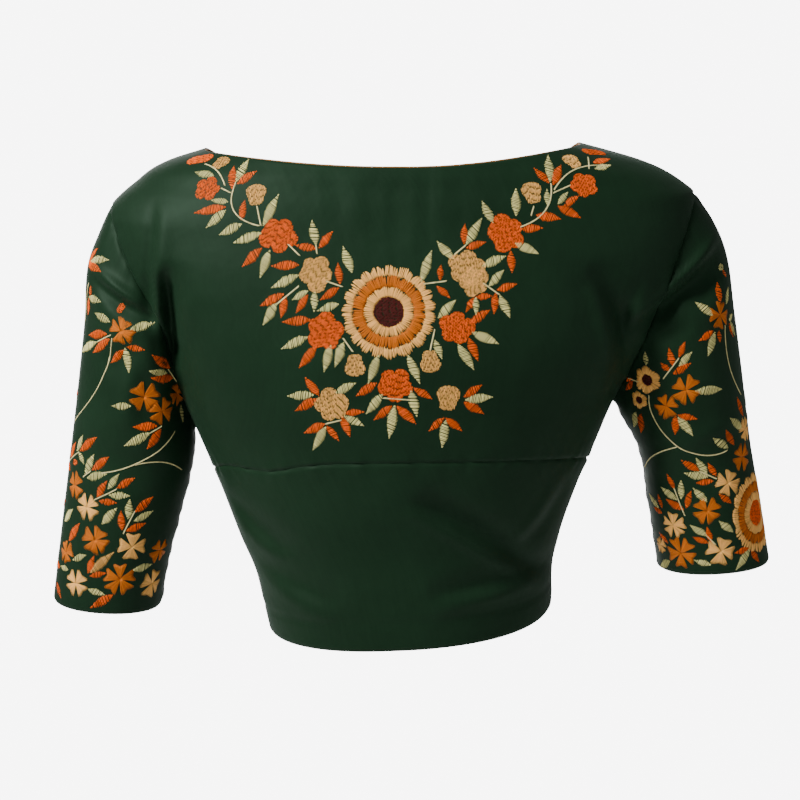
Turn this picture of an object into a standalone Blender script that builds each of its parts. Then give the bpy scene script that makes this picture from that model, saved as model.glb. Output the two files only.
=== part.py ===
"""Choli blouse: the short fitted blouse of a saree, filled out as when it is worn.

Metres, +Z up. The back faces -Y and the wearer's right is +X. The origin lies midway between the two
shoulders, at the height of the right neck point, on the line of the shoulder seams.

Every piece of cloth starts as one smooth garment form: level sections of the torso, and rings of the
sleeves. A piece is a patch of that form, cut along its real seams and given the thickness of the cloth.
"""

from collections import namedtuple

import bmesh
import bpy
import numpy as np

WALL = 0.0016  # satin with its lining, sewn as one cloth
SEAM_GAP = 0.0003
# Where two pieces meet at a sharp angle, the wall and the gap are drawn out by one over the lean between
# them, but by no more than one over these.
LEAST_WALL_LEAN, LEAST_GAP_LEAN = 0.6, 0.25
SECTION_POWER = 2.25  # 2 would make each level section an ellipse; a little more is squarer

# Half-widths left and right of the origin, and depths behind and before it, at each height.
Section = namedtuple("Section", "height left right back front")
SECTIONS = (
    Section(0.000, 0.128, 0.130, 0.066, 0.050),
    Section(-0.005, 0.144, 0.149, 0.068, 0.054),
    Section(-0.012, 0.166, 0.173, 0.071, 0.059),
    Section(-0.019, 0.180, 0.190, 0.075, 0.064),
    Section(-0.027, 0.190, 0.203, 0.078, 0.068),
    Section(-0.036, 0.201, 0.213, 0.082, 0.072),
    Section(-0.045, 0.209, 0.2155, 0.085, 0.075),
    Section(-0.055, 0.2135, 0.217, 0.088, 0.078),
    Section(-0.080, 0.2125, 0.2135, 0.096, 0.085),
    Section(-0.110, 0.203, 0.203, 0.103, 0.093),
    Section(-0.150, 0.1795, 0.1785, 0.108, 0.102),
    Section(-0.187, 0.159, 0.1565, 0.107, 0.108),
    Section(-0.215, 0.1465, 0.1445, 0.104, 0.108),
    Section(-0.250, 0.1325, 0.1305, 0.099, 0.104),
    Section(-0.287, 0.1190, 0.1185, 0.094, 0.098),
    Section(-0.315, 0.1075, 0.1135, 0.092, 0.094),
    Section(-0.335, 0.1030, 0.1135, 0.091, 0.092),
    Section(-0.365, 0.0965, 0.1105, 0.090, 0.091),
)

# Where the cloth is cut on each side: the neck point, the shoulder tip and the underarm.
Side = namedtuple("Side", "sign name neck_z tip_z underarm_z cross_seam_z hem_z")
LEFT = Side(-1, "left", -0.004, -0.045, -0.205, -0.240, -0.359)
RIGHT = Side(1, "right", 0.000, -0.036, -0.187, -0.232, -0.339)
NECK_CENTRE_Z = {"back": -0.012, "front": -0.074}
NECK_CURVE = {"back": 3.2, "front": 2.0}  # a higher power keeps the dip nearer the centre
SHOULDER_EASE = 1.2  # above 1, the shoulder seam's points lie closer near the neck
CROSS_SEAM_CENTRE_Z = -0.222
HEM_CENTRE_Z = -0.3535

# The front's fullness on each side, taken in by a dart from the hem.
CUP_X, CUP_Z, CUP_FULLNESS = 0.078, -0.176, 0.013
CUP_WIDTH, CUP_HEIGHT = 0.055, 0.054
CUP_EDGE_POWER = 6  # how late the fullness fades towards the side seam

# The fronts lap at the centre, the right one outside, each this far past the centre.
LAP = 0.009
LAP_LIFTED = 0.0105  # the right front lies flat on the left one as far as this

# Rings of a sleeve, from the armhole to the cuff: the outer and inner line as seen from behind, and half
# the ring's depth front to back.
Ring = namedtuple("Ring", "share outer_x outer_z inner_x inner_z depth centre_y")
SLEEVE_RINGS = {
    "left": (
        Ring(0.00, 0.2090, -0.045, 0.1510, -0.205, 0.050, 0.000),
        Ring(0.08, 0.2170, -0.062, 0.1515, -0.215, 0.052, 0.000),
        Ring(0.20, 0.2268, -0.088, 0.1525, -0.228, 0.053, 0.001),
        Ring(0.34, 0.2308, -0.128, 0.1550, -0.243, 0.052, 0.002),
        Ring(0.50, 0.2372, -0.178, 0.1602, -0.263, 0.049, 0.003),
        Ring(0.66, 0.2450, -0.232, 0.1665, -0.286, 0.046, 0.004),
        Ring(0.82, 0.2530, -0.286, 0.1735, -0.312, 0.043, 0.005),
        Ring(1.00, 0.2608, -0.340, 0.1800, -0.346, 0.040, 0.006),
    ),
    "right": (
        Ring(0.00, 0.2130, -0.036, 0.1565, -0.187, 0.050, 0.000),
        Ring(0.08, 0.2270, -0.056, 0.1605, -0.195, 0.052, 0.000),
        Ring(0.20, 0.2375, -0.080, 0.1660, -0.205, 0.053, 0.001),
        Ring(0.34, 0.2440, -0.120, 0.1740, -0.219, 0.052, 0.002),
        Ring(0.50, 0.2510, -0.164, 0.1800, -0.236, 0.049, 0.003),
        Ring(0.66, 0.2583, -0.212, 0.1838, -0.260, 0.046, 0.004),
        Ring(0.82, 0.2678, -0.262, 0.1885, -0.285, 0.043, 0.005),
        Ring(1.00, 0.2770, -0.310, 0.1935, -0.316, 0.040, 0.006),
    ),
}
SLEEVE_POWER = 2.1
ARMHOLE_BLEND = 0.45  # the share of a sleeve over which it passes from the armhole's shape to its rings

# The largest folds, each along a line as seen from behind. A negative rise is a trough.
Fold = namedtuple("Fold", "place face x0 z0 x1 z1 width rise")
FOLDS = (
    Fold("body", "back", 0.132, -0.092, 0.157, -0.122, 0.011, -0.0040),
    Fold("body", "back", 0.157, -0.122, 0.153, -0.172, 0.011, -0.0045),
    Fold("body", "back", -0.166, -0.098, -0.162, -0.140, 0.009, -0.0060),
    Fold("body", "back", -0.162, -0.140, -0.156, -0.168, 0.008, -0.0045),
    Fold("body", "back", 0.030, -0.250, 0.100, -0.308, 0.014, -0.0022),
    Fold("body", "back", 0.030, -0.303, 0.094, -0.299, 0.012, 0.0018),
    Fold("body", "back", -0.118, -0.262, -0.070, -0.290, 0.014, -0.0018),
    Fold("body", "front", 0.150, -0.110, 0.152, -0.165, 0.012, -0.0045),
    Fold("body", "front", -0.152, -0.115, -0.150, -0.175, 0.012, -0.0045),
    Fold("body", "front", 0.040, -0.262, 0.096, -0.300, 0.013, -0.0022),
    Fold("body", "front", -0.036, -0.270, -0.094, -0.312, 0.013, -0.0022),
    Fold("sleeve", "back", 0.240, -0.078, 0.214, -0.100, 0.010, -0.0045),
    Fold("sleeve", "back", 0.214, -0.100, 0.182, -0.126, 0.010, -0.0045),
    Fold("sleeve", "back", -0.228, -0.096, -0.180, -0.122, 0.011, 0.0040),
    Fold("sleeve", "back", -0.182, -0.128, -0.168, -0.178, 0.010, 0.0030),
    Fold("sleeve", "front", 0.236, -0.086, 0.184, -0.124, 0.012, -0.0040),
    Fold("sleeve", "front", -0.230, -0.100, -0.182, -0.134, 0.012, -0.0035),
    Fold("sleeve", "back", 0.262, -0.222, 0.196, -0.246, 0.012, -0.0022),
    Fold("sleeve", "back", -0.172, -0.232, -0.222, -0.218, 0.012, -0.0020),
)
FOLD_TURN = 0.02  # a fold fades out over this far to either side of the line from behind to before
FOLD_FADE_ROWS = 3  # rows of a sleeve over which the body's folds give way to the sleeve's own

# How finely the form is divided. The armhole has ARMHOLE_ROWS steps behind and as many before.
HALF_COLUMNS = 14
NECK_COLUMNS = 9
LAP_COLUMNS = 3  # the right front's columns that lie on the left front
ARMHOLE_ROWS = 14
CHEST_ROWS = 3
WAIST_ROWS = 8
SLEEVE_ROWS = 17

PIPING_RADIUS = 0.0009


def curve_through(knots, values):
    """A smooth curve through the values that never swings past them, as a function of the knots."""
    order = np.argsort(knots)
    x, y = np.array(knots, float)[order], np.array(values, float)[order]
    step, rise = np.diff(x), np.diff(y)
    grade = rise / step
    slope = np.concatenate([grade[:1], np.zeros(len(x) - 2), grade[-1:]])
    same_way = grade[:-1] * grade[1:] > 0
    mean = 2 * grade[:-1] * grade[1:] / np.where(same_way, grade[:-1] + grade[1:], 1)
    slope[1:-1] = np.where(same_way, mean, 0)

    def at(place):
        i = np.clip(np.searchsorted(x, place) - 1, 0, len(step) - 1)
        t = (np.clip(place, x[0], x[-1]) - x[i]) / step[i]
        start = (1 + 2 * t) * (1 - t) ** 2 * y[i] + t * (1 - t) ** 2 * step[i] * slope[i]
        end = t * t * (3 - 2 * t) * y[i + 1] - t * t * (1 - t) * step[i] * slope[i + 1]
        return float(start + end)

    return at


HEIGHTS = [section.height for section in SECTIONS]
WIDTH = {
    "left": curve_through(HEIGHTS, [section.left for section in SECTIONS]),
    "right": curve_through(HEIGHTS, [section.right for section in SECTIONS]),
}
DEPTH = {
    "back": curve_through(HEIGHTS, [section.back for section in SECTIONS]),
    "front": curve_through(HEIGHTS, [section.front for section in SECTIONS]),
}
FACING = {"back": -1, "front": 1}


def side_of(x):
    return LEFT if x < 0 else RIGHT


def form_point(face, x, z):
    """The point of the torso form at this place, as seen from behind or before."""
    reach = min(1.0, abs(x) / WIDTH[side_of(x).name](z))
    y = DEPTH[face](z) * (1 - reach**SECTION_POWER) ** (1 / SECTION_POWER)
    if face == "front":
        spread = ((abs(x) - CUP_X) / CUP_WIDTH) ** 2 + ((z - CUP_Z) / CUP_HEIGHT) ** 2
        y += CUP_FULLNESS * np.exp(-spread) * (1 - reach**CUP_EDGE_POWER)
    return np.array([x, FACING[face] * y, z])


def section_x(side, z, across):
    """x at this share of the way round from the centre to the side, on the section at height z."""
    turn = np.sin(abs(across) * np.pi / 2) ** (2 / SECTION_POWER)
    return side.sign * WIDTH[side.name](z) * turn


def level(across, left, centre, right):
    """A height that runs from one side through the centre to the other in one smooth bow."""
    mean = (left + right) / 2
    return mean + across * (right - left) / 2 + (centre - mean) * (1 - across * across)


def underarm_z(across):
    mean = (LEFT.underarm_z + RIGHT.underarm_z) / 2
    return level(across, LEFT.underarm_z, mean, RIGHT.underarm_z)


def top_edge(face, across):
    """x and z on the neckline, or past the neck point on the shoulder seam."""
    side = RIGHT if across >= 0 else LEFT
    neck_share = NECK_COLUMNS / HALF_COLUMNS
    if abs(across) <= neck_share:
        turn = abs(across) / neck_share * np.pi / 2
        x = side.sign * WIDTH[side.name](side.neck_z) * np.sin(turn) ** (2 / SECTION_POWER)
        dip = max(0.0, np.cos(turn)) ** NECK_CURVE[face]
        return x, side.neck_z + (NECK_CENTRE_Z[face] - side.neck_z) * dip
    share = (abs(across) - neck_share) / (1 - neck_share)
    z = side.neck_z + (side.tip_z - side.neck_z) * share**SHOULDER_EASE
    return side.sign * WIDTH[side.name](z), z


def torso_point(face, across, row):
    """A point of the torso: across is -1 at the left side and 1 at the right, row counts from the top."""
    side = RIGHT if across >= 0 else LEFT
    underarm = underarm_z(across)
    if row <= ARMHOLE_ROWS:
        share = (1 - np.cos(np.pi * row / ARMHOLE_ROWS)) / 2
        top_x, top_z = top_edge(face, across)
        z = top_z + (underarm - top_z) * share
        x = top_x + (section_x(side, underarm, across) - top_x) * share
        point = form_point(face, x, z)
        if row == 0 and round(abs(across) * HALF_COLUMNS) >= NECK_COLUMNS:
            point[1] = 0.0
        return point
    seam = level(across, LEFT.cross_seam_z, CROSS_SEAM_CENTRE_Z, RIGHT.cross_seam_z)
    hem = level(across, LEFT.hem_z, HEM_CENTRE_Z, RIGHT.hem_z)
    if row <= ARMHOLE_ROWS + CHEST_ROWS:
        z = underarm + (seam - underarm) * (row - ARMHOLE_ROWS) / CHEST_ROWS
    else:
        z = seam + (hem - seam) * (row - ARMHOLE_ROWS - CHEST_ROWS) / WAIST_ROWS
    return form_point(face, section_x(side, z, across), z)


def torso_patch(face, columns, rows):
    """Points in rows from the top down, and in columns from left to right."""
    return np.array([[torso_point(face, a, r) for a in columns] for r in rows])


def front_patch(side, extra_x):
    """Half the front, with extra columns at these places near the centre, where the fronts lap."""
    across = [side.sign * i / HALF_COLUMNS for i in range(HALF_COLUMNS + 1)]
    patch = []
    for row in range(ARMHOLE_ROWS + CHEST_ROWS + WAIST_ROWS + 1):
        points = [torso_point("front", a, row) for a in across]
        centre, first = points[0], points[1]
        for x in extra_x:
            z = centre[2] + (first[2] - centre[2]) * (x / first[0]) ** 2
            points.append(form_point("front", x, z))
        patch.append(sorted(points, key=lambda point: point[0]))
    return np.array(patch)


def armhole_loop(side):
    """The armhole from the shoulder tip down the back to the underarm, and up the front again."""
    down = [torso_point("back", side.sign, r) for r in range(ARMHOLE_ROWS + 1)]
    up = [torso_point("front", side.sign, r) for r in range(ARMHOLE_ROWS - 1, -1, -1)]
    loop = np.array(down + up)
    loop[ARMHOLE_ROWS, 1] = 0.0
    return loop


def rounded(value, power):
    return np.sign(value) * np.abs(value) ** (2 / power)


def sleeve_patch(side):
    """Rings of a sleeve, the first of them on the armhole. The last column repeats the first."""
    rings = SLEEVE_RINGS[side.name]
    shares = [ring.share for ring in rings]
    along = {
        column: curve_through(shares, [getattr(ring, column) for ring in rings])
        for column in Ring._fields[1:]
    }
    loop = armhole_loop(side)
    turn = np.pi * np.arange(2 * ARMHOLE_ROWS + 1) / ARMHOLE_ROWS

    def ring_points(share):
        outer = np.array([side.sign * along["outer_x"](share), 0, along["outer_z"](share)])
        inner = np.array([side.sign * along["inner_x"](share), 0, along["inner_z"](share)])
        centre = (outer + inner) / 2 + np.array([0, along["centre_y"](share), 0])
        height = rounded(np.cos(turn), SLEEVE_POWER)[:, None] * (outer - inner) / 2
        depth = -rounded(np.sin(turn), SLEEVE_POWER)[:, None] * np.array([0, along["depth"](share), 0])
        return centre + height + depth

    apart = loop - ring_points(0.0)
    patch = []
    for row in range(SLEEVE_ROWS + 1):
        share = row / SLEEVE_ROWS
        patch.append(ring_points(share) + apart * max(0.0, 1 - share / ARMHOLE_BLEND) ** 2)
    return np.array(patch)


def unit(vectors):
    return vectors / np.linalg.norm(vectors, axis=-1, keepdims=True)


def key(point):
    return tuple(np.round(point * 1e5).astype(int))


def place_of(name):
    return "sleeve" if name.startswith("sleeve") else "body"


def outward_normals(patches):
    """A normal for each point of each patch, shared where pieces meet, and how much it leans with the piece.

    Where a sleeve meets the body the normal is halfway between the two, so that both walls end on the
    plane between them. The lean is 1 on smooth cloth and less the sharper the two pieces meet.
    """
    sums = {}
    for name, patch in patches.items():
        across = patch[1:, 1:] - patch[:-1, :-1]
        down = patch[1:, :-1] - patch[:-1, 1:]
        faces = unit(np.cross(across, down))
        spine = patch.mean(axis=1, keepdims=True) * [1, 0, 1]
        if np.sum(faces * (patch[:-1, :-1] - spine[:-1])) < 0:
            faces = -faces
        for row, column in np.ndindex(faces.shape[:2]):
            for corner in ((0, 0), (0, 1), (1, 0), (1, 1)):
                here = sums.setdefault(key(patch[row + corner[0], column + corner[1]]), {})
                here[place_of(name)] = here.get(place_of(name), 0) + faces[row, column]
    normals, leans = {}, {}
    for name, patch in patches.items():
        normals[name], leans[name] = np.zeros_like(patch), np.ones(patch.shape[:2] + (1,))
        for row, column in np.ndindex(patch.shape[:2]):
            meeting = [unit(total) for total in sums[key(patch[row, column])].values()]
            normal = unit(sum(meeting))
            normals[name][row, column] = normal
            leans[name][row, column] = normal @ meeting[0]
    return normals, leans


def fold_rise(place, point):
    """How far the folds lift the cloth at this point, along its normal."""
    rise = 0.0
    for fold in FOLDS:
        turned = np.clip((FACING[fold.face] * point[1] + FOLD_TURN) / (2 * FOLD_TURN), 0, 1)
        if fold.place != place or turned == 0:
            continue
        start, end = np.array([fold.x0, fold.z0]), np.array([fold.x1, fold.z1])
        here, run = np.array([point[0], point[2]]) - start, end - start
        share = np.clip(here @ run / (run @ run), 0, 1)
        apart = np.linalg.norm(here - share * run)
        rise += fold.rise * turned * np.exp(-((apart / fold.width) ** 2))
    return rise


def drawn_in(layer, guide, lean, wraps):
    """The layer with its edges moved in by half a seam gap, along the guide layer."""
    layer, inset = layer.copy(), SEAM_GAP / 2 / np.maximum(LEAST_GAP_LEAN, lean)
    layer[0] += unit(guide[1] - guide[0]) * inset[0]
    layer[-1] += unit(guide[-2] - guide[-1]) * inset[-1]
    if not wraps:
        layer[:, 0] += unit(guide[:, 1] - guide[:, 0]) * inset[:, 0]
        layer[:, -1] += unit(guide[:, -2] - guide[:, -1]) * inset[:, -1]
    return layer


def cloth_object(name, outer, inner, wraps, collection, material):
    """A flat slab, two points thick, whose points are then moved onto the outer and inner layers."""
    rows, columns = outer.shape[:2]
    bm = bmesh.new()
    bmesh.ops.create_grid(bm, x_segments=columns - 1, y_segments=rows - 1, size=0.5)
    made = bmesh.ops.extrude_face_region(bm, geom=bm.faces[:], use_keep_orig=True)
    inside = [item for item in made["geom"] if isinstance(item, bmesh.types.BMVert)]
    bmesh.ops.translate(bm, verts=inside, vec=(0, 0, -1))
    if wraps:
        ends = [f for f in bm.faces if abs(abs(f.calc_center_median().x) - 0.5) < 1e-4]
        bmesh.ops.delete(bm, geom=ends, context="FACES_ONLY")
    for vert in bm.verts:
        column = round((vert.co.x + 0.5) * (columns - 1))
        row = round((vert.co.y + 0.5) * (rows - 1))
        vert.co = inner[row, column] if vert.co.z < -0.5 else outer[row, column]
    if wraps:
        bmesh.ops.remove_doubles(bm, verts=bm.verts, dist=1e-6)
    bmesh.ops.recalc_face_normals(bm, faces=bm.faces)
    if bm.calc_volume(signed=True) < 0:
        bmesh.ops.reverse_faces(bm, faces=bm.faces)
    mesh = bpy.data.meshes.new(name)
    bm.to_mesh(mesh)
    bm.free()
    mesh.shade_smooth()
    mesh.materials.append(material)
    made_object = bpy.data.objects.new(name, mesh)
    collection.objects.link(made_object)
    return made_object


def piping_object(name, points, collection, material):
    curve = bpy.data.curves.new(name, "CURVE")
    curve.dimensions = "3D"
    curve.bevel_depth = PIPING_RADIUS
    curve.bevel_resolution = 2
    curve.use_fill_caps = True
    spline = curve.splines.new("POLY")
    spline.points.add(len(points) - 1)
    for target, point in zip(spline.points, points):
        target.co = (*point, 1)
    curve.materials.append(material)
    made_object = bpy.data.objects.new(name, curve)
    collection.objects.link(made_object)
    return made_object


def material(name, colour, roughness):
    made = bpy.data.materials.new(name)
    made.use_nodes = True
    shader = made.node_tree.nodes["Principled BSDF"]
    shader.inputs["Base Color"].default_value = (*colour, 1)
    shader.inputs["Roughness"].default_value = roughness
    shader.inputs["Metallic"].default_value = 0.0
    return made


def garment_patches():
    """The outer face of each piece of cloth, cut out of the form."""
    whole = [i / HALF_COLUMNS for i in range(-HALF_COLUMNS, HALF_COLUMNS + 1)]
    seam_row = ARMHOLE_ROWS + CHEST_ROWS
    hem_row = seam_row + WAIST_ROWS
    return {
        "back_upper": torso_patch("back", whole, range(seam_row + 1)),
        "back_lower": torso_patch("back", whole, range(seam_row, hem_row + 1)),
        "front_right": front_patch(RIGHT, (-LAP, LAP_LIFTED)),
        "front_left": front_patch(LEFT, (LAP,)),
        "sleeve_right": sleeve_patch(RIGHT),
        "sleeve_left": sleeve_patch(LEFT),
    }


def layers_of(patches):
    """The outer and inner layer of each piece, with folds, lap and thickness."""
    normals, _ = outward_normals(patches)
    for name, patch in patches.items():
        for row, column in np.ndindex(patch.shape[:2]):
            point = patch[row, column].copy()
            rise = fold_rise(place_of(name), point)
            if place_of(name) == "sleeve":
                own = min(1.0, row / FOLD_FADE_ROWS)
                rise = own * rise + (1 - own) * fold_rise("body", point)
            patch[row, column] += normals[name][row, column] * rise
    normals, leans = outward_normals(patches)
    patches["front_right"][:, :LAP_COLUMNS] += normals["front_right"][:, :LAP_COLUMNS] * (WALL + SEAM_GAP)
    layers = {}
    for name, patch in patches.items():
        wraps = place_of(name) == "sleeve"
        lean = leans[name]
        inner = patch - normals[name] * WALL / np.maximum(LEAST_WALL_LEAN, lean)
        layers[name] = drawn_in(patch, patch, lean, wraps), drawn_in(inner, patch, lean, wraps), wraps
    return layers


def neck_edge(layers):
    """The piping's line, against the neck edge, from the right front round the back to the left front."""
    neck = NECK_COLUMNS
    stretches = (
        ("front_right", range(0, neck + LAP_COLUMNS - 1)),
        ("back_upper", range(HALF_COLUMNS + neck, HALF_COLUMNS - neck - 1, -1)),
        ("front_left", range(HALF_COLUMNS - neck + 1, HALF_COLUMNS)),
    )
    edges = [(layers[name][0][:2, c], layers[name][1][:2, c]) for name, cols in stretches for c in cols]
    middle = np.array([(outer[0] + inner[0]) / 2 for outer, inner in edges])
    below = np.array([(outer[1] + inner[1]) / 2 for outer, inner in edges])
    through = np.array([outer[0] - inner[0] for outer, inner in edges])
    away = unit(np.cross(np.gradient(middle, axis=0), through))
    away *= np.sign(np.sum(away * (middle - below), axis=1, keepdims=True))
    return middle + away * (PIPING_RADIUS + SEAM_GAP)


def main():
    for old in list(bpy.data.objects):
        bpy.data.objects.remove(old)
    collection = bpy.data.collections.new("choli_blouse")
    bpy.context.scene.collection.children.link(collection)
    satin = material("bottle_green_satin", (0.018, 0.060, 0.034), 0.42)
    tan = material("tan_piping", (0.45, 0.24, 0.11), 0.6)
    layers = layers_of(garment_patches())
    for name, (outer, inner, wraps) in layers.items():
        cloth_object(name, outer, inner, wraps, collection, satin)
    piping_object("neck_piping", neck_edge(layers), collection, tan)


main()
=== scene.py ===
# %% [markdown]
# A choli: the short fitted blouse of a saree, in bottle green satin, embroidered by hand. It is filled out
# as if it were worn, with nobody in it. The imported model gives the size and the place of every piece. This
# script lays fine cloth over those plain solids, sews it, and embroiders it with real threads.

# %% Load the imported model
import math
from collections import namedtuple

import bmesh
import bpy
import numpy as np
from mathutils import Matrix, Vector
from mathutils.bvhtree import BVHTree


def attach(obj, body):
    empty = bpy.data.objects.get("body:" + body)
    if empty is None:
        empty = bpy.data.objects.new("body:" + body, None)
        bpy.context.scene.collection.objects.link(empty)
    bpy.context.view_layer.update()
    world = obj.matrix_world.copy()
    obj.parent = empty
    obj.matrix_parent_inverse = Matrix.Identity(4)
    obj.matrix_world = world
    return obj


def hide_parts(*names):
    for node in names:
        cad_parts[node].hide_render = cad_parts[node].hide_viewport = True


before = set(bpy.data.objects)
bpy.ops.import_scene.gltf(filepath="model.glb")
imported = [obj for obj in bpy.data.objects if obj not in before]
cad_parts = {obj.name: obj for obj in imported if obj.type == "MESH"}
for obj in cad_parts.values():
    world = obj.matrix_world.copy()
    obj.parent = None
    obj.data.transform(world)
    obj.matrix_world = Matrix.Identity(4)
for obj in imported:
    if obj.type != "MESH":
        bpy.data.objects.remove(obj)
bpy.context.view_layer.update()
MM = 0.001
print("nodes:", sorted(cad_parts))

# %% [markdown]
# The camera stands behind the blouse, a little above it, where the photograph was taken. Its place is
# worked out from the pitch, the distance and the point that it looks at, so those three can be changed.

# %% Camera
PITCH = math.radians(10.9)
DISTANCE = 1.53
AIM = Vector((0.0, 0.0, -0.189))
PICTURE_SIDE = 800
FOCAL_PIXELS = 2073.0
SENSOR = 36.0


def add_object(name, data):
    """An object with this data, put into the scene."""
    made = bpy.data.objects.new(name, data)
    bpy.context.scene.collection.objects.link(made)
    return made


camera_data = bpy.data.cameras.new("camera")
camera_data.sensor_width = SENSOR
camera_data.lens = SENSOR * FOCAL_PIXELS / PICTURE_SIDE
camera = add_object("camera", camera_data)
camera.location = AIM + DISTANCE * Vector((0, -math.cos(PITCH), math.sin(PITCH)))
camera.rotation_euler = (math.pi / 2 - PITCH, 0, 0)
bpy.context.scene.camera = camera
print("lens", round(camera_data.lens, 1), "mm")


def sight_line(px, py):
    """Where the camera stands, and the direction in which it sees this pixel of the photograph."""
    right, up = (px - PICTURE_SIDE / 2) / FOCAL_PIXELS, (PICTURE_SIDE / 2 - py) / FOCAL_PIXELS
    turned = Matrix.Rotation(math.pi / 2 - PITCH, 3, "X") @ Vector((right, up, -1))
    return camera.location, turned.normalized()


# %% [markdown]
# Satin shows its shape by its highlights, so the light matters as much as the cloth. The photograph has one
# broad soft light from the upper left and a weak one from the right. Large area lights give the same soft
# edge to every shadow. The floor is a plain pale sheet far below, where a wearer would stand. As in a
# studio, the backdrop has lamps of its own: the eye sees it bright, while little of it falls on the cloth,
# and the far floor melts into it.

# %% Floor, world and lights
FLOOR_Z = -1.30
FLOOR_SIZE = 60.0
FLOOR_COLOUR, FLOOR_ROUGHNESS = (0.86, 0.86, 0.86), 0.7
FLOOR_MELTS = (1.2, 2.2)
BACKDROP_SEEN, BACKDROP_LIGHT = 7.5, 0.26


def plain_material(name, colour, roughness):
    """A material of one colour, for a Principled shader to be built upon."""
    made = bpy.data.materials.new(name)
    made.use_nodes = True
    shader = made.node_tree.nodes["Principled BSDF"]
    shader.inputs["Base Color"].default_value = (*colour, 1)
    shader.inputs["Roughness"].default_value = roughness
    return made


def blended(tree, first, second, factor):
    """A Mix Shader between two shaders."""
    mix = tree.nodes.new("ShaderNodeMixShader")
    tree.links.new(factor, mix.inputs[0])
    tree.links.new(first, mix.inputs[1])
    tree.links.new(second, mix.inputs[2])
    return mix.outputs[0]


def backdrop_glow(tree, kind):
    """A shader as bright as the backdrop, and a 0 or 1 that says whether the eye looks at it directly."""
    glow = tree.nodes.new(kind)
    glow.inputs["Color"].default_value = (1, 1, 1, 1)
    glow.inputs["Strength"].default_value = BACKDROP_SEEN
    return glow.outputs[0], tree.nodes.new("ShaderNodeLightPath").outputs["Is Camera Ray"]


floor_bm = bmesh.new()
bmesh.ops.create_grid(floor_bm, x_segments=1, y_segments=1, size=FLOOR_SIZE / 2)
bmesh.ops.translate(floor_bm, verts=floor_bm.verts, vec=(0, 0, FLOOR_Z))
floor_mesh = bpy.data.meshes.new("floor")
floor_bm.to_mesh(floor_mesh)
floor_bm.free()
pale = plain_material("pale_floor", FLOOR_COLOUR, FLOOR_ROUGHNESS)
tree = pale.node_tree
glow, seen = backdrop_glow(tree, "ShaderNodeEmission")
far = tree.nodes.new("ShaderNodeVectorMath")
far.operation = "LENGTH"
tree.links.new(tree.nodes.new("ShaderNodeTexCoord").outputs["Object"], far.inputs[0])
melt = tree.nodes.new("ShaderNodeMapRange")
melt.interpolation_type = "SMOOTHSTEP"
melt.inputs["From Min"].default_value, melt.inputs["From Max"].default_value = FLOOR_MELTS
tree.links.new(far.outputs["Value"], melt.inputs["Value"])
tree.links.new(seen, melt.inputs["To Max"])
surface = blended(tree, tree.nodes["Principled BSDF"].outputs[0], glow, melt.outputs["Result"])
tree.links.new(surface, tree.nodes["Material Output"].inputs["Surface"])
floor_mesh.materials.append(pale)
add_object("floor", floor_mesh)

world = bpy.data.worlds.new("studio")
world.use_nodes = True
world.node_tree.nodes["Background"].inputs["Color"].default_value = (1.0, 1.0, 1.0, 1)
world.node_tree.nodes["Background"].inputs["Strength"].default_value = BACKDROP_LIGHT
glow, seen = backdrop_glow(world.node_tree, "ShaderNodeBackground")
surface = blended(world.node_tree, world.node_tree.nodes["Background"].outputs[0], glow, seen)
world.node_tree.links.new(surface, world.node_tree.nodes["World Output"].inputs["Surface"])
bpy.context.scene.world = world


def soft_light(name, place, target, size, watts):
    """A square area light that looks at the target."""
    data = bpy.data.lights.new(name, "AREA")
    data.size = size
    data.energy = watts
    light = add_object(name, data)
    light.location = place
    light.rotation_euler = (Vector(target) - Vector(place)).to_track_quat("-Z", "Y").to_euler()


soft_light("key", (-1.42, -0.98, 1.26), (-0.05, 0, -0.12), 0.6, 80)
soft_light("fill", (1.70, -1.20, 0.10), (0, 0, -0.2), 1.4, 5)
soft_light("front_side", (-0.35, 1.9, -0.10), (0, 0, -0.2), 1.8, 28)

# %% [markdown]
# A blouse is cut from flat cloth, but what a viewer sees is the body form that it is cut to. So the cloth
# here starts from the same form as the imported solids: level sections of the torso, and rings of the
# sleeves. Each value below is a real size in metres, and a smooth curve runs through each column.

# %% The form: sections of the torso
SECTION_POWER = 2.25
Section = namedtuple("Section", "height left right back front")
SECTIONS = (
    Section(0.000, 0.128, 0.130, 0.066, 0.050),
    Section(-0.005, 0.144, 0.149, 0.068, 0.054),
    Section(-0.012, 0.166, 0.173, 0.071, 0.059),
    Section(-0.019, 0.180, 0.190, 0.075, 0.064),
    Section(-0.027, 0.190, 0.203, 0.078, 0.068),
    Section(-0.036, 0.201, 0.213, 0.082, 0.072),
    Section(-0.045, 0.209, 0.2155, 0.085, 0.075),
    Section(-0.055, 0.2135, 0.217, 0.088, 0.078),
    Section(-0.080, 0.2125, 0.2135, 0.096, 0.085),
    Section(-0.110, 0.203, 0.203, 0.103, 0.093),
    Section(-0.150, 0.1795, 0.1785, 0.108, 0.102),
    Section(-0.187, 0.159, 0.1565, 0.107, 0.108),
    Section(-0.215, 0.1465, 0.1445, 0.104, 0.108),
    Section(-0.250, 0.1325, 0.1305, 0.099, 0.104),
    Section(-0.287, 0.1190, 0.1185, 0.094, 0.098),
    Section(-0.315, 0.1075, 0.1135, 0.092, 0.094),
    Section(-0.335, 0.1030, 0.1135, 0.091, 0.092),
    Section(-0.365, 0.0965, 0.1105, 0.090, 0.091),
)
Side = namedtuple("Side", "sign name neck_z tip_z underarm_z cross_seam_z hem_z")
LEFT = Side(-1, "left", -0.004, -0.045, -0.205, -0.240, -0.359)
RIGHT = Side(1, "right", 0.000, -0.036, -0.187, -0.232, -0.339)
NECK_CENTRE_Z = {"back": -0.012, "front": -0.074}
NECK_CURVE = {"back": 3.2, "front": 2.0}
NECK_SHARE = 9 / 14
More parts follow.
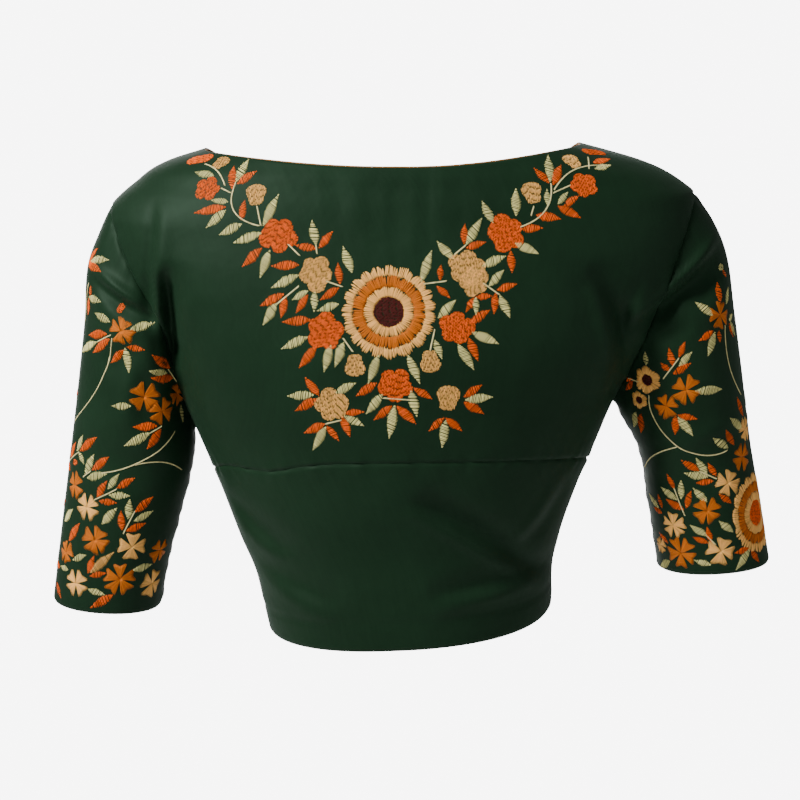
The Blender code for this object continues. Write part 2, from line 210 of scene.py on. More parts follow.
SHOULDER_EASE = 1.2
CROSS_SEAM_CENTRE_Z = -0.214
HEM_CENTRE_Z = -0.3535
CUP_X, CUP_Z, CUP_FULLNESS = 0.078, -0.176, 0.013
CUP_WIDTH, CUP_HEIGHT = 0.055, 0.054
CUP_EDGE_POWER = 6
FACING = {"back": -1, "front": 1}


def curve_through(knots, values):
    """A smooth curve through the values that never swings past them, as a function of the knots."""
    order = np.argsort(knots)
    x, y = np.array(knots, float)[order], np.array(values, float)[order]
    step, rise = np.diff(x), np.diff(y)
    grade = rise / step
    slope = np.concatenate([grade[:1], np.zeros(len(x) - 2), grade[-1:]])
    same_way = grade[:-1] * grade[1:] > 0
    mean = 2 * grade[:-1] * grade[1:] / np.where(same_way, grade[:-1] + grade[1:], 1)
    slope[1:-1] = np.where(same_way, mean, 0)

    def at(place):
        i = np.clip(np.searchsorted(x, place) - 1, 0, len(step) - 1)
        t = (np.clip(place, x[0], x[-1]) - x[i]) / step[i]
        start = (1 + 2 * t) * (1 - t) ** 2 * y[i] + t * (1 - t) ** 2 * step[i] * slope[i]
        end = t * t * (3 - 2 * t) * y[i + 1] - t * t * (1 - t) * step[i] * slope[i + 1]
        return start + end

    return at


HEIGHTS = [section.height for section in SECTIONS]
LEFT_WIDTH = curve_through(HEIGHTS, [section.left for section in SECTIONS])
RIGHT_WIDTH = curve_through(HEIGHTS, [section.right for section in SECTIONS])
DEPTH = {face: curve_through(HEIGHTS, [getattr(s, face) for s in SECTIONS]) for face in ("back", "front")}


def by_side(across, field):
    """The right side's value where across is positive, and the left side's elsewhere."""
    return np.where(across >= 0, getattr(RIGHT, field), getattr(LEFT, field))


def half_width(across, z):
    """The torso's width from its middle to the side at height z."""
    return np.where(across >= 0, RIGHT_WIDTH(z), LEFT_WIDTH(z))


def form_points(face, x, z):
    """Points of the torso form at these places, as seen from behind or before."""
    reach = np.minimum(1, np.abs(x) / half_width(x, z))
    y = DEPTH[face](z) * (1 - reach**SECTION_POWER) ** (1 / SECTION_POWER)
    if face == "front":
        spread = ((np.abs(x) - CUP_X) / CUP_WIDTH) ** 2 + ((z - CUP_Z) / CUP_HEIGHT) ** 2
        y = y + CUP_FULLNESS * np.exp(-spread) * (1 - reach**CUP_EDGE_POWER)
    return np.stack([x, FACING[face] * y, z], axis=-1)


print("torso", round(float(2 * RIGHT_WIDTH(RIGHT.underarm_z) / MM)), "mm wide at the underarm")

# %% [markdown]
# Each panel is a net of points on that form, in rows from its top edge down and in columns from left to
# right. The armhole, the neckline, the cross seam and the hem are rows or columns of the net, so the cloth
# ends exactly where a maker would cut it.

# %% Nets for the torso's panels
ARMHOLE_ROWS, CHEST_ROWS, WAIST_ROWS = 14, 3, 8
SEAM_SAG, SAG_ACROSS, SAG_WIDTH = 0.0050, -0.42, 0.14
SEAM_ROW = ARMHOLE_ROWS + CHEST_ROWS
HEM_ROW = SEAM_ROW + WAIST_ROWS


def level(across, left, centre, right):
    """A height that runs from one side through the centre to the other in one smooth bow."""
    mean = (left + right) / 2
    return mean + across * (right - left) / 2 + (centre - mean) * (1 - across * across)


def underarm_z(across):
    """The height of the line that joins the two underarms."""
    return level(across, LEFT.underarm_z, (LEFT.underarm_z + RIGHT.underarm_z) / 2, RIGHT.underarm_z)


def cross_seam_z(across):
    """The seam under the bust. It sags a little left of the middle, where the cloth is eased in."""
    sag = SEAM_SAG * np.exp(-(((across - SAG_ACROSS) / SAG_WIDTH) ** 2))
    return level(across, LEFT.cross_seam_z, CROSS_SEAM_CENTRE_Z, RIGHT.cross_seam_z) - sag


def section_x(across, z):
    """x at this share of the way round from the centre to the side, on the section at height z."""
    turn = np.sin(np.abs(across) * np.pi / 2) ** (2 / SECTION_POWER)
    return np.sign(across) * half_width(across, z) * turn


def top_edge(face, across):
    """x and z on the neckline, or past the neck point on the shoulder seam."""
    sign, neck, tip = by_side(across, "sign"), by_side(across, "neck_z"), by_side(across, "tip_z")
    turn = np.minimum(1, np.abs(across) / NECK_SHARE) * np.pi / 2
    neck_x = sign * half_width(across, neck) * np.sin(turn) ** (2 / SECTION_POWER)
    neck_z = neck + (NECK_CENTRE_Z[face] - neck) * np.maximum(0, np.cos(turn)) ** NECK_CURVE[face]
    share = np.maximum(0, np.abs(across) - NECK_SHARE) / (1 - NECK_SHARE)
    seam_z = neck + (tip - neck) * share**SHOULDER_EASE
    on_neck = np.abs(across) <= NECK_SHARE
    x = np.where(on_neck, neck_x, sign * half_width(across, seam_z))
    return x, np.where(on_neck, neck_z, seam_z)


def torso_points(face, across, row):
    """Points of the torso: across is -1 at the left side and 1 at the right, row counts from the top."""
    across, row = np.broadcast_arrays(np.asarray(across, float), np.asarray(row, float))
    share = (1 - np.cos(np.pi * np.minimum(row, ARMHOLE_ROWS) / ARMHOLE_ROWS)) / 2
    chest = np.clip((row - ARMHOLE_ROWS) / CHEST_ROWS, 0, 1)
    waist = np.clip((row - SEAM_ROW) / WAIST_ROWS, 0, 1)
    top_x, top_z = top_edge(face, across)
    underarm, seam = underarm_z(across), cross_seam_z(across)
    hem = level(across, LEFT.hem_z, HEM_CENTRE_Z, RIGHT.hem_z)
    z = top_z + (underarm - top_z) * share + (seam - underarm) * chest + (hem - seam) * waist
    upper_x = top_x + (section_x(across, underarm) - top_x) * share
    points = form_points(face, np.where(row < ARMHOLE_ROWS, upper_x, section_x(across, z)), z)
    on_shoulder = (row == 0) & (np.abs(across) >= NECK_SHARE - 1e-6)
    points[on_shoulder, 1] = 0
    return points


def steps(start, end, count, first=(), last=()):
    """Even steps, with extra ones close to either end, where the cloth turns in at a seam."""
    middle = np.linspace(start, end, count + 1)
    unit_step = (end - start) / count
    extra = [start + unit_step * share for share in first] + [end - unit_step * share for share in last]
    return np.unique(np.concatenate([middle, extra]).round(9))


EDGE_STEPS = (0.12, 0.3, 0.6)
print("hem at", round(HEM_CENTRE_Z / MM), "mm")

# %% [markdown]
# A sleeve is a tube. Its first ring is the armhole itself and its last one is the cuff, and between them
# the armhole's bent shape eases into plain ovals. Its own seam runs under the arm, so the net starts there.

# %% Nets for the sleeves
Ring = namedtuple("Ring", "share outer_x outer_z inner_x inner_z depth centre_y")
SLEEVE_RINGS = {
    "left": (
        Ring(0.00, 0.2090, -0.045, 0.1510, -0.205, 0.050, 0.000),
        Ring(0.08, 0.2170, -0.062, 0.1515, -0.215, 0.052, 0.000),
        Ring(0.20, 0.2268, -0.088, 0.1525, -0.228, 0.053, 0.001),
        Ring(0.34, 0.2308, -0.128, 0.1550, -0.243, 0.052, 0.002),
        Ring(0.50, 0.2372, -0.178, 0.1602, -0.263, 0.049, 0.003),
        Ring(0.66, 0.2450, -0.232, 0.1665, -0.286, 0.046, 0.004),
        Ring(0.82, 0.2530, -0.286, 0.1735, -0.312, 0.043, 0.005),
        Ring(1.00, 0.2608, -0.340, 0.1800, -0.346, 0.040, 0.006),
    ),
    "right": (
        Ring(0.00, 0.2130, -0.036, 0.1565, -0.187, 0.050, 0.000),
        Ring(0.08, 0.2270, -0.056, 0.1605, -0.195, 0.052, 0.000),
        Ring(0.20, 0.2375, -0.080, 0.1660, -0.205, 0.053, 0.001),
        Ring(0.34, 0.2440, -0.120, 0.1740, -0.219, 0.052, 0.002),
        Ring(0.50, 0.2510, -0.164, 0.1800, -0.236, 0.049, 0.003),
        Ring(0.66, 0.2583, -0.212, 0.1838, -0.260, 0.046, 0.004),
        Ring(0.82, 0.2678, -0.262, 0.1885, -0.285, 0.043, 0.005),
        Ring(1.00, 0.2770, -0.310, 0.1935, -0.316, 0.040, 0.006),
    ),
}
SLEEVE_POWER = 2.1
ARMHOLE_BLEND = 0.45
UNDERARM_TURN = math.pi


def rounded(value):
    """A sine or cosine, filled out a little so that the ring is fuller than an oval."""
    return np.sign(value) * np.abs(value) ** (2 / SLEEVE_POWER)


def armhole_points(side, turn):
    """The armhole: turn 0 is the shoulder tip, a quarter is behind, half is under the arm."""
    turn = np.mod(turn, 2 * np.pi)
    behind = torso_points("back", side.sign, np.minimum(turn, np.pi) / np.pi * ARMHOLE_ROWS)
    before = torso_points("front", side.sign, np.minimum(2 * np.pi - turn, np.pi) / np.pi * ARMHOLE_ROWS)
    return np.where((turn <= np.pi)[:, None], behind, before)


def sleeve_points(side, share, turn):
    """Rows of points from the armhole to the cuff, each of them all round the sleeve."""
    rings = SLEEVE_RINGS[side.name]
    shares = [ring.share for ring in rings]
    along = {
        field: curve_through(shares, [getattr(ring, field) for ring in rings])
        for field in Ring._fields[1:]
    }

    def oval(place):
        outer = np.array([side.sign * along["outer_x"](place), 0, along["outer_z"](place)])
        inner = np.array([side.sign * along["inner_x"](place), 0, along["inner_z"](place)])
        centre = (outer + inner) / 2 + np.array([0, along["centre_y"](place), 0])
        deep = np.array([0, along["depth"](place), 0])
        high = rounded(np.cos(turn))[:, None] * (outer - inner) / 2
        return centre + high - rounded(np.sin(turn))[:, None] * deep

    apart = armhole_points(side, turn) - oval(0.0)
    return np.array([oval(s) + apart * max(0.0, 1 - s / ARMHOLE_BLEND) ** 2 for s in share])


print("cuffs", [round(2 * rings[-1].depth / MM) for rings in SLEEVE_RINGS.values()], "mm deep")

# %% [markdown]
# Cloth never lies quite smooth. The largest folds are in the imported solids already, and the same table
# stands here. Smaller creases are added one by one, each a soft trough with a ridge beside it. Hanging cloth
# falls steeply from the ridge and rises gently again, so the wall between them is the steep side. They fan
# out from the underarm, where a set-in sleeve has cloth to spare, and drop from the neck and the waist.

# %% Folds and creases
Fold = namedtuple("Fold", "place face x0 z0 x1 z1 width rise")
FOLDS = (
    Fold("body", "back", 0.132, -0.092, 0.157, -0.122, 0.011, -0.0040),
    Fold("body", "back", 0.157, -0.122, 0.153, -0.172, 0.011, -0.0045),
    Fold("body", "back", -0.166, -0.098, -0.162, -0.140, 0.009, -0.0060),
    Fold("body", "back", -0.162, -0.140, -0.156, -0.168, 0.008, -0.0045),
    Fold("body", "back", 0.030, -0.250, 0.100, -0.308, 0.014, -0.0022),
    Fold("body", "back", 0.030, -0.303, 0.094, -0.299, 0.012, 0.0018),
    Fold("body", "back", -0.118, -0.262, -0.070, -0.290, 0.014, -0.0018),
    Fold("body", "front", 0.150, -0.110, 0.152, -0.165, 0.012, -0.0045),
    Fold("body", "front", -0.152, -0.115, -0.150, -0.175, 0.012, -0.0045),
    Fold("body", "front", 0.040, -0.262, 0.096, -0.300, 0.013, -0.0022),
    Fold("body", "front", -0.036, -0.270, -0.094, -0.312, 0.013, -0.0022),
    Fold("sleeve", "back", 0.240, -0.078, 0.214, -0.100, 0.010, -0.0045),
    Fold("sleeve", "back", 0.214, -0.100, 0.182, -0.126, 0.010, -0.0045),
    Fold("sleeve", "back", -0.228, -0.096, -0.180, -0.122, 0.011, 0.0040),
    Fold("sleeve", "back", -0.182, -0.128, -0.168, -0.178, 0.010, 0.0030),
    Fold("sleeve", "front", 0.236, -0.086, 0.184, -0.124, 0.012, -0.0040),
    Fold("sleeve", "front", -0.230, -0.100, -0.182, -0.134, 0.012, -0.0035),
    Fold("sleeve", "back", 0.262, -0.222, 0.196, -0.246, 0.012, -0.0022),
    Fold("sleeve", "back", -0.172, -0.232, -0.222, -0.218, 0.012, -0.0020),
)
FOLD_TURN = 0.02
FOLD_FADE = 3 / 17

Crease = namedtuple("Crease", "place face x0 z0 x1 z1 bow width rise")
CREASES = (
    # the left armhole from behind: a deep hollow, the fold that hangs beside it, the drag under the cap
    Crease("body", "back", -0.1635, -0.080, -0.1605, -0.158, 0.000, 0.0062, -0.0092),
    Crease("both", "back", -0.1590, -0.136, -0.1530, -0.190, 0.000, 0.0070, -0.0036),
    Crease("body", "back", -0.1650, -0.036, -0.1725, -0.134, 0.000, 0.0060, 0.0040),
    Crease("body", "back", -0.1360, -0.104, -0.1450, -0.176, 0.004, 0.0110, -0.0030),
    Crease("both", "back", -0.1720, -0.1240, -0.2260, -0.0900, -0.002, 0.0064, -0.0068),
    Crease("sleeve", "back", -0.1800, -0.134, -0.2160, -0.154, -0.003, 0.0100, -0.0020),
    Crease("sleeve", "back", -0.2060, -0.060, -0.1850, -0.110, -0.002, 0.0060, 0.0012),
    Crease("sleeve", "back", -0.1760, -0.150, -0.1840, -0.205, 0.002, 0.0100, -0.0022),
    # the right armhole: one long diagonal across the sleeve, and a bowed hollow on the back
    Crease("both", "back", 0.2360, -0.0660, 0.1660, -0.1270, -0.003, 0.0066, -0.0076),
    Crease("body", "back", 0.1350, -0.078, 0.1585, -0.170, -0.010, 0.0100, -0.0064),
    Crease("body", "back", 0.1780, -0.092, 0.1570, -0.142, 0.003, 0.0065, 0.0020),
    Crease("sleeve", "back", 0.2060, -0.124, 0.1740, -0.142, 0.002, 0.0062, -0.0038),
    Crease("sleeve", "back", 0.1740, -0.130, 0.1760, -0.185, 0.000, 0.0080, -0.0022),
    Crease("both", "back", 0.1540, -0.150, 0.1480, -0.205, 0.000, 0.0070, -0.0030),
    # fine lines that fall from the middle of the neck
    Crease("body", "back", 0.0030, -0.006, 0.0040, -0.094, 0.001, 0.0021, 0.0008),
    Crease("body", "back", -0.0090, -0.006, -0.0060, -0.080, 0.001, 0.0024, -0.0006),
    Crease("body", "back", -0.0220, -0.006, -0.0180, -0.078, -0.001, 0.0026, -0.0006),
    Crease("body", "back", -0.0360, -0.006, -0.0300, -0.066, 0.001, 0.0030, 0.0005),
    Crease("body", "back", 0.0150, -0.006, 0.0150, -0.074, -0.001, 0.0025, -0.0006),
    Crease("body", "back", 0.0280, -0.006, 0.0260, -0.066, 0.001, 0.0030, 0.0006),
    Crease("body", "back", 0.0440, -0.010, 0.0400, -0.058, 0.001, 0.0030, -0.0005),
    Crease("body", "back", -0.0500, -0.010, -0.0440, -0.060, 0.001, 0.0032, -0.0004),
    # the waist: soft diagonals towards the right side, as the body turns
    Crease("body", "back", 0.0100, -0.240, 0.1080, -0.312, -0.005, 0.0085, -0.0060),
    Crease("body", "back", 0.0200, -0.312, 0.1120, -0.300, -0.002, 0.0095, -0.0046),
    Crease("body", "back", 0.1220, -0.232, 0.0860, -0.284, -0.004, 0.0070, -0.0030),
    Crease("body", "back", -0.1240, -0.246, -0.0760, -0.286, 0.004, 0.0085, -0.0034),
    Crease("body", "back", -0.1050, -0.292, -0.0400, -0.318, 0.004, 0.0110, -0.0030),
    # hidden sides, in the same manner
    Crease("body", "front", 0.1280, -0.080, 0.1520, -0.176, 0.009, 0.0080, -0.0040),
    Crease("body", "front", -0.1260, -0.086, -0.1520, -0.186, -0.009, 0.0080, -0.0042),
    Crease("body", "front", 0.0160, -0.110, 0.0120, -0.180, 0.003, 0.0080, -0.0014),
    Crease("body", "front", -0.0240, -0.120, -0.0440, -0.215, -0.006, 0.0080, 0.0012),
    Crease("body", "front", 0.1220, -0.214, 0.0760, -0.232, 0.003, 0.0060, -0.0014),
    Crease("body", "front", -0.1240, -0.220, -0.0800, -0.240, -0.003, 0.0060, -0.0014),
    Crease("body", "front", 0.0300, -0.262, 0.0900, -0.318, 0.006, 0.0080, -0.0020),
    Crease("body", "front", -0.1040, -0.262, -0.0400, -0.322, 0.006, 0.0090, -0.0018),
    Crease("both", "front", 0.1700, -0.128, 0.2340, -0.088, 0.003, 0.0070, -0.0046),
    Crease("both", "front", -0.1740, -0.136, -0.2280, -0.100, -0.003, 0.0070, -0.0044),
    Crease("sleeve", "front", 0.1860, -0.160, 0.2300, -0.150, 0.003, 0.0090, -0.0018),
    Crease("sleeve", "front", -0.1820, -0.170, -0.2240, -0.160, 0.003, 0.0090, -0.0018),
    Crease("sleeve", "back", 0.2560, -0.205, 0.1960, -0.232, 0.004, 0.0090, -0.0016),
    Crease("sleeve", "back", -0.2300, -0.226, -0.1800, -0.256, -0.004, 0.0100, -0.0014),
    Crease("sleeve", "front", 0.2560, -0.190, 0.2000, -0.226, 0.006, 0.0090, -0.0016),
    Crease("sleeve", "front", -0.2400, -0.214, -0.1800, -0.246, -0.006, 0.0090, -0.0016),
)
RIDGE_SHARE, RIDGE_OFFSET, RIDGE_WIDTH = 0.60, 1.25, 0.62
STEEP, GENTLE = 0.62, 1.30
CREASE_FADE = 0.7


def turned_to(face, points):
    """1 on the named face of the garment and 0 on the other, fading over the line between them."""
    return np.clip((FACING[face] * points[..., 1] + FOLD_TURN) / (2 * FOLD_TURN), 0, 1)


def along_line(item, points):
    """The share of the way along the item's line, and how far each point lies to the side of it."""
    start, run = np.array([item.x0, item.z0]), np.array([item.x1 - item.x0, item.z1 - item.z0])
    here = points[..., [0, 2]] - start
    share = np.clip(here @ run / (run @ run), 0, 1)
    beside = here - share[..., None] * run
    side = (here[..., 0] * run[1] - here[..., 1] * run[0]) / np.linalg.norm(run)
    return share, beside, side


def fold_depth(place, points):
    """How far the large folds move the cloth towards the viewer, from behind or before."""
    moved = np.zeros(points.shape[:-1])
    for fold in FOLDS:
        if fold.place == place:
            _, beside, _ = along_line(fold, points)
            swell = np.exp(-(np.sum(beside**2, axis=-1) / fold.width**2))
            moved += FACING[fold.face] * fold.rise * turned_to(fold.face, points) * swell
    return moved


def crease_depth(place, points):
    """How far the creases move the cloth: a trough, and a ridge beside it behind a steep wall."""
    moved = np.zeros(points.shape[:-1])
    for crease in CREASES:
        if crease.place in (place, "both"):
            share, _, side = along_line(crease, points)
            side = (side - 4 * share * (1 - share) * crease.bow) / crease.width
            trough = np.exp(-((side / np.where(side > 0, STEEP, GENTLE)) ** 2))
            ridge = np.exp(-(((side - RIDGE_OFFSET) / RIDGE_WIDTH) ** 2))
            shape = trough - RIDGE_SHARE * ridge
            fade = np.sin(np.pi * share) ** CREASE_FADE
            moved += FACING[crease.face] * crease.rise * turned_to(crease.face, points) * fade * shape
    return moved


# The left armhole's seam bows outwards over the fold, so the cloth on both sides of it slides along.
SLIDE_X, SLIDE_Z, SLIDE_WIDTH, SLIDE_HEIGHT, SLIDE = -0.176, -0.126, 0.030, 0.036, 0.0095


def slide(points):
    """How far the cloth near the left armhole slides towards the middle of the back."""
    beside = (points[..., 0] - SLIDE_X) / SLIDE_WIDTH
    spread = beside**2 + ((points[..., 2] - SLIDE_Z) / SLIDE_HEIGHT) ** 2
    return SLIDE * turned_to("back", points) * np.exp(-spread)


print(len(FOLDS), "folds and", len(CREASES), "creases")

# %% [markdown]
# At a seam both pieces turn in, and the thread draws the cloth into small puckers. A hem or a cuff is
# folded under, so its edge is round. Both are made the same way: near an edge the net sinks along the
# direction that the two pieces share there, and the seam's puckers are a few uneven waves that die away.

# %% Edges of the cloth
SEAM_DEPTH, SEAM_REACH = 1.0 * MM, 1.4 * MM
ROLL_DEPTH, ROLL_REACH = 0.9 * MM, 0.9 * MM
PUCKER_DEPTH, PUCKER_REACH = 0.75 * MM, 8 * MM
SEWN_IN_REACH, TUCK_IN, TUCK_UNDER = 3 * MM, 0.4 * MM, 0.4 * MM
HEM_LINE, HEM_LINE_WIDTH, HEM_LINE_DEPTH = 20 * MM, 1.8 * MM, 0.60 * MM
PUCKER_WAVES = ((0.0113, 0.4), (0.0171, 1.9), (0.0294, 3.1))


def unit(vectors):
    """The same directions with a length of one."""
    return vectors / np.maximum(np.linalg.norm(vectors, axis=-1, keepdims=True), 1e-12)


def net_normals(points, wraps):
    """Outward normals of a net."""
    if wraps:
        ring = np.concatenate([points[:, -2:-1], points, points[:, 1:2]], axis=1)
        across = np.gradient(ring, axis=1)[:, 1:-1]
    else:
        across = np.gradient(points, axis=1)
    normals = unit(np.cross(across, np.gradient(points, axis=0)))
    spine = points.mean(axis=1, keepdims=True) * [1, 0, 1]
    return normals * (1 if np.sum(normals * (points - spine)) > 0 else -1)


def run_lengths(points, axis):
    """The distance along the net from its first row or column."""
    gaps = np.linalg.norm(np.diff(points, axis=axis), axis=-1)
    start = np.zeros_like(np.take(gaps, [0], axis=axis))
    return np.cumsum(np.concatenate([start, gaps], axis=axis), axis=axis)


def edge_distances(points):
    """How far each point lies from the top, bottom, first and last edge of its net."""
    down, across = run_lengths(points, 0), run_lengths(points, 1)
    return {"top": down, "bottom": down[-1:] - down, "first": across, "last": across[:, -1:] - across}


def edge_line(array, edge):
    """The row or column of the net on this edge, kept as a row or column."""
    return {"top": array[:1], "bottom": array[-1:], "first": array[:, :1], "last": array[:, -1:]}[edge]


def pucker(run):
    """Small uneven waves along a seam, from -1 to 1."""
    waves = [np.sin(2 * np.pi * run / length + phase) for length, phase in PUCKER_WAVES]
    return sum(waves) / len(waves)


print("seams turn in by", round(SEAM_DEPTH / MM, 1), "mm")

# %% [markdown]
# Now the nets themselves. The fronts lap at the centre, where hooks would close them, so the right front
# gets extra columns that lie flat on the left one. Every piece is one named net with a named kind of edge.

# %% The nets of all the pieces
LAP, LAP_LIFTED, LAP_BEND = 0.009, 0.0105, 0.019
CLOTH_WALL = 0.0016
SEAM_GAP = 0.0003
FIRST_COLUMN = 1 / 14
LAP_GAPS = (-9.0, -8.6, -7.6, -5.0, -2.5, 0.0, 2.5, 5.0, 7.6, 8.6, 9.0)
LAP_SHARES = (0.15, 0.35, 0.57, 0.79)

Net = namedtuple("Net", "points wraps edges")
across_whole = steps(-1, 1, 140, EDGE_STEPS, EDGE_STEPS)
upper_rows = steps(0, SEAM_ROW, 92, EDGE_STEPS, EDGE_STEPS)
lower_rows = steps(SEAM_ROW, HEM_ROW, 46, EDGE_STEPS, EDGE_STEPS)
front_rows = steps(0, HEM_ROW, 138, EDGE_STEPS, EDGE_STEPS)
across_front = steps(FIRST_COLUMN, 1, 66, (), EDGE_STEPS)
sleeve_share = steps(0, 1, 100, EDGE_STEPS, EDGE_STEPS)
sleeve_turn = np.mod(UNDERARM_TURN + steps(0, 2 * np.pi, 140, EDGE_STEPS, EDGE_STEPS), 2 * np.pi)


def front_net(side):
    """Half the front, from the lap at the centre to the side seam."""
    panel = torso_points("front", side.sign * across_front[None, :], front_rows[:, None])
    centre = torso_points("front", 0.0, front_rows)
    first = torso_points("front", side.sign * FIRST_COLUMN, front_rows)
    under = np.broadcast_to(np.array(LAP_GAPS) * MM, (len(first), len(LAP_GAPS)))
    beyond = LAP + (np.abs(first[:, :1]) - LAP) * LAP_SHARES
    lap_x = side.sign * np.concatenate([under, beyond], axis=1)
    z = centre[:, None, 2] + (first[:, None, 2] - centre[:, None, 2]) * (lap_x / first[:, :1]) ** 2
    lap = form_points("front", lap_x, z)
    return np.concatenate([lap, panel], axis=1)


SEWN, ROLLED = "sewn", "rolled"
nets = {
    "back_upper": Net(
        torso_points("back", across_whole[None, :], upper_rows[:, None]), False,
        {"top": ROLLED, "bottom": SEWN, "first": SEWN, "last": SEWN},
    ),
    "back_lower": Net(
        torso_points("back", across_whole[None, :], lower_rows[:, None]), False,
        {"top": SEWN, "bottom": ROLLED, "first": SEWN, "last": SEWN},
    ),
}
for side in (LEFT, RIGHT):
    nets["front_" + side.name] = Net(
        front_net(side), False,
        {"top": ROLLED, "bottom": ROLLED, "first": ROLLED, "last": SEWN},
    )
    nets["sleeve_" + side.name] = Net(
        sleeve_points(side, sleeve_share, sleeve_turn), True,
        {"top": SEWN, "bottom": ROLLED, "first": SEWN, "last": SEWN},
    )
for name, net in nets.items():
    print(name, net.points.shape[:2], "points")

# %% [markdown]
# The nets are still as smooth as the form. They are now pushed about as real cloth is: first the slide and
# the folds, then the turned edges. Two pieces that meet at a seam sink along the mean of their own two
# directions there, so that they meet again. Sleeves are set in last, as in a real blouse, with a narrow
# allowance of cloth under the armhole's edge, so no light comes through the seam.

# %% Fold, crease and turn in the nets
CORNERS_PER_METRE = 2e4
HEM_LINED = ("back_lower", "front_left", "front_right")


def corner_key(point):
    """The same key for all points that are closer together than about 0.05 mm."""
    return tuple(np.round(point * CORNERS_PER_METRE).astype(int))


for name, net in nets.items():
    points = net.points
    points[..., 0] += slide(points)
    moved = {place: fold_depth(place, points) + crease_depth(place, points) for place in ("sleeve", "body")}
    if net.wraps:
        own = np.minimum(1, sleeve_share[:, None] / FOLD_FADE)
        points[..., 1] += own * moved["sleeve"] + (1 - own) * moved["body"]
    else:
        points[..., 1] += moved["body"]

normals = {name: net_normals(net.points, net.wraps) for name, net in nets.items()}
shared = {}
for name, net in nets.items():
    for edge in net.edges:
        line, own = edge_line(net.points, edge), edge_line(normals[name], edge)
        for point, normal in zip(line.reshape(-1, 3), own.reshape(-1, 3)):
            shared[corner_key(point)] = shared.get(corner_key(point), 0) + normal

for name, net in nets.items():
    points, distances = net.points, edge_distances(net.points)
    moved = np.zeros_like(points)
    if name in HEM_LINED:
        line = ((distances["bottom"] - HEM_LINE) / HEM_LINE_WIDTH) ** 2
        moved = moved - normals[name] * (HEM_LINE_DEPTH * np.exp(-line))[..., None]
    for edge, kind in net.edges.items():
        line, own = edge_line(points, edge), edge_line(normals[name], edge)
        inward = np.array([shared[corner_key(p)] for p in line.reshape(-1, 3)]).reshape(line.shape)
        inward = -unit(inward) if kind == SEWN else -own
        depth, reach = (SEAM_DEPTH, SEAM_REACH) if kind == SEWN else (ROLL_DEPTH, ROLL_REACH)
        moved = moved + inward * (depth * np.exp(-((distances[edge] / reach) ** 2)))[..., None]
        if kind == SEWN:
            run = run_lengths(line, 1 if edge in ("top", "bottom") else 0)
            wave = pucker(run) * PUCKER_DEPTH * np.exp(-((distances[edge] / PUCKER_REACH) ** 2))
            moved = moved + normals[name] * (wave * np.clip(distances[edge] / SEAM_REACH, 0, 1))[..., None]
    points += moved


def seam_allowance(name, column, rows, wanted):
    """Places just under the side edge of a panel, at these rows."""
    points = nets[name].points
    edge, beside = points[:, column], points[:, column + (1 if column == 0 else -1)]
    under = edge + unit(beside - edge) * TUCK_IN - normals[name][:, column] * TUCK_UNDER
    return np.stack([np.interp(wanted, rows, under[:, axis]) for axis in range(3)], axis=1)


# The sleeves are set in last: their first ring runs just under the armhole's edge, and the cloth follows.
for side in (LEFT, RIGHT):
    sleeve = nets["sleeve_" + side.name].points
    back_row = sleeve_turn / np.pi * ARMHOLE_ROWS
    behind = seam_allowance("back_upper", 0 if side is LEFT else -1, upper_rows, back_row)
    before = seam_allowance("front_" + side.name, -1, front_rows, 2 * ARMHOLE_ROWS - back_row)
    pull = np.where((sleeve_turn <= np.pi)[:, None], behind, before) - sleeve[0]
    sleeve += pull[None] * np.exp(-((run_lengths(sleeve, 0) / SEWN_IN_REACH) ** 2))[..., None]

right_front = nets["front_right"].points
lifted = np.clip((LAP_BEND - right_front[..., 0]) / (LAP_BEND - LAP_LIFTED), 0, 1)
right_front += normals["front_right"] * (lifted * (CLOTH_WALL + SEAM_GAP))[..., None]
print("edges shared at", len(shared), "points")

# %% [markdown]
# Satin is a fine weave whose long floating threads all lie one way, so light runs along it in a soft band.
# The cloth's map below is measured in metres along the net, across and down, so the weave follows the cloth
# over every fold. The weave is a node group, and so is the twist of thread that the threads and the piping
# use.

# %% Shader groups for the weave and for thread
THREADS_PER_METRE, FLOAT_STRETCH = 2600.0, 0.06
SLUB_SCALE, SLUB_SHARE = 420.0, 0.5
TWIST_STRANDS, TWIST_DISTORTION = 900.0, 0.6


def new_group(name, inputs, outputs):
    """An empty shader node group with named sockets."""
    group = bpy.data.node_groups.new(name, "ShaderNodeTree")
    for label, kind, value in inputs:
        socket = group.interface.new_socket(label, in_out="INPUT", socket_type=kind)
        if value is not None:
            socket.default_value = value
    for label, kind in outputs:
        group.interface.new_socket(label, in_out="OUTPUT", socket_type=kind)
    return group, group.nodes.new("NodeGroupInput"), group.nodes.new("NodeGroupOutput")


def add_node(tree, kind, **settings):
    """A new node of this kind with these settings."""
    node = tree.nodes.new(kind)
    for label, value in settings.items():
        setattr(node, label, value)
    return node


def math_node(tree, operation, first, second):
    """A Math node whose two inputs are sockets or plain numbers."""
    node = add_node(tree, "ShaderNodeMath", operation=operation)
    for socket, value in zip(node.inputs, (first, second)):
        if isinstance(value, (int, float)):
            socket.default_value = value
        else:
            tree.links.new(value, socket)
    return node.outputs[0]


def ramp_node(tree, source, stops):
    """A colour ramp between two (place, colour) stops."""
    node = add_node(tree, "ShaderNodeValToRGB")
    ramp = node.color_ramp
    for element, (place, colour) in zip(ramp.elements, stops):
        element.position = place
        element.color = (*colour, 1)
    tree.links.new(source, node.inputs["Fac"])
    return node.outputs["Color"]


def noise_node(tree, vector, scale, detail):
    """A noise of this scale over the given coordinates."""
    node = add_node(tree, "ShaderNodeTexNoise", noise_dimensions="3D")
    node.inputs["Scale"].default_value = scale
    node.inputs["Detail"].default_value = detail
    tree.links.new(vector, node.inputs["Vector"])
    return node


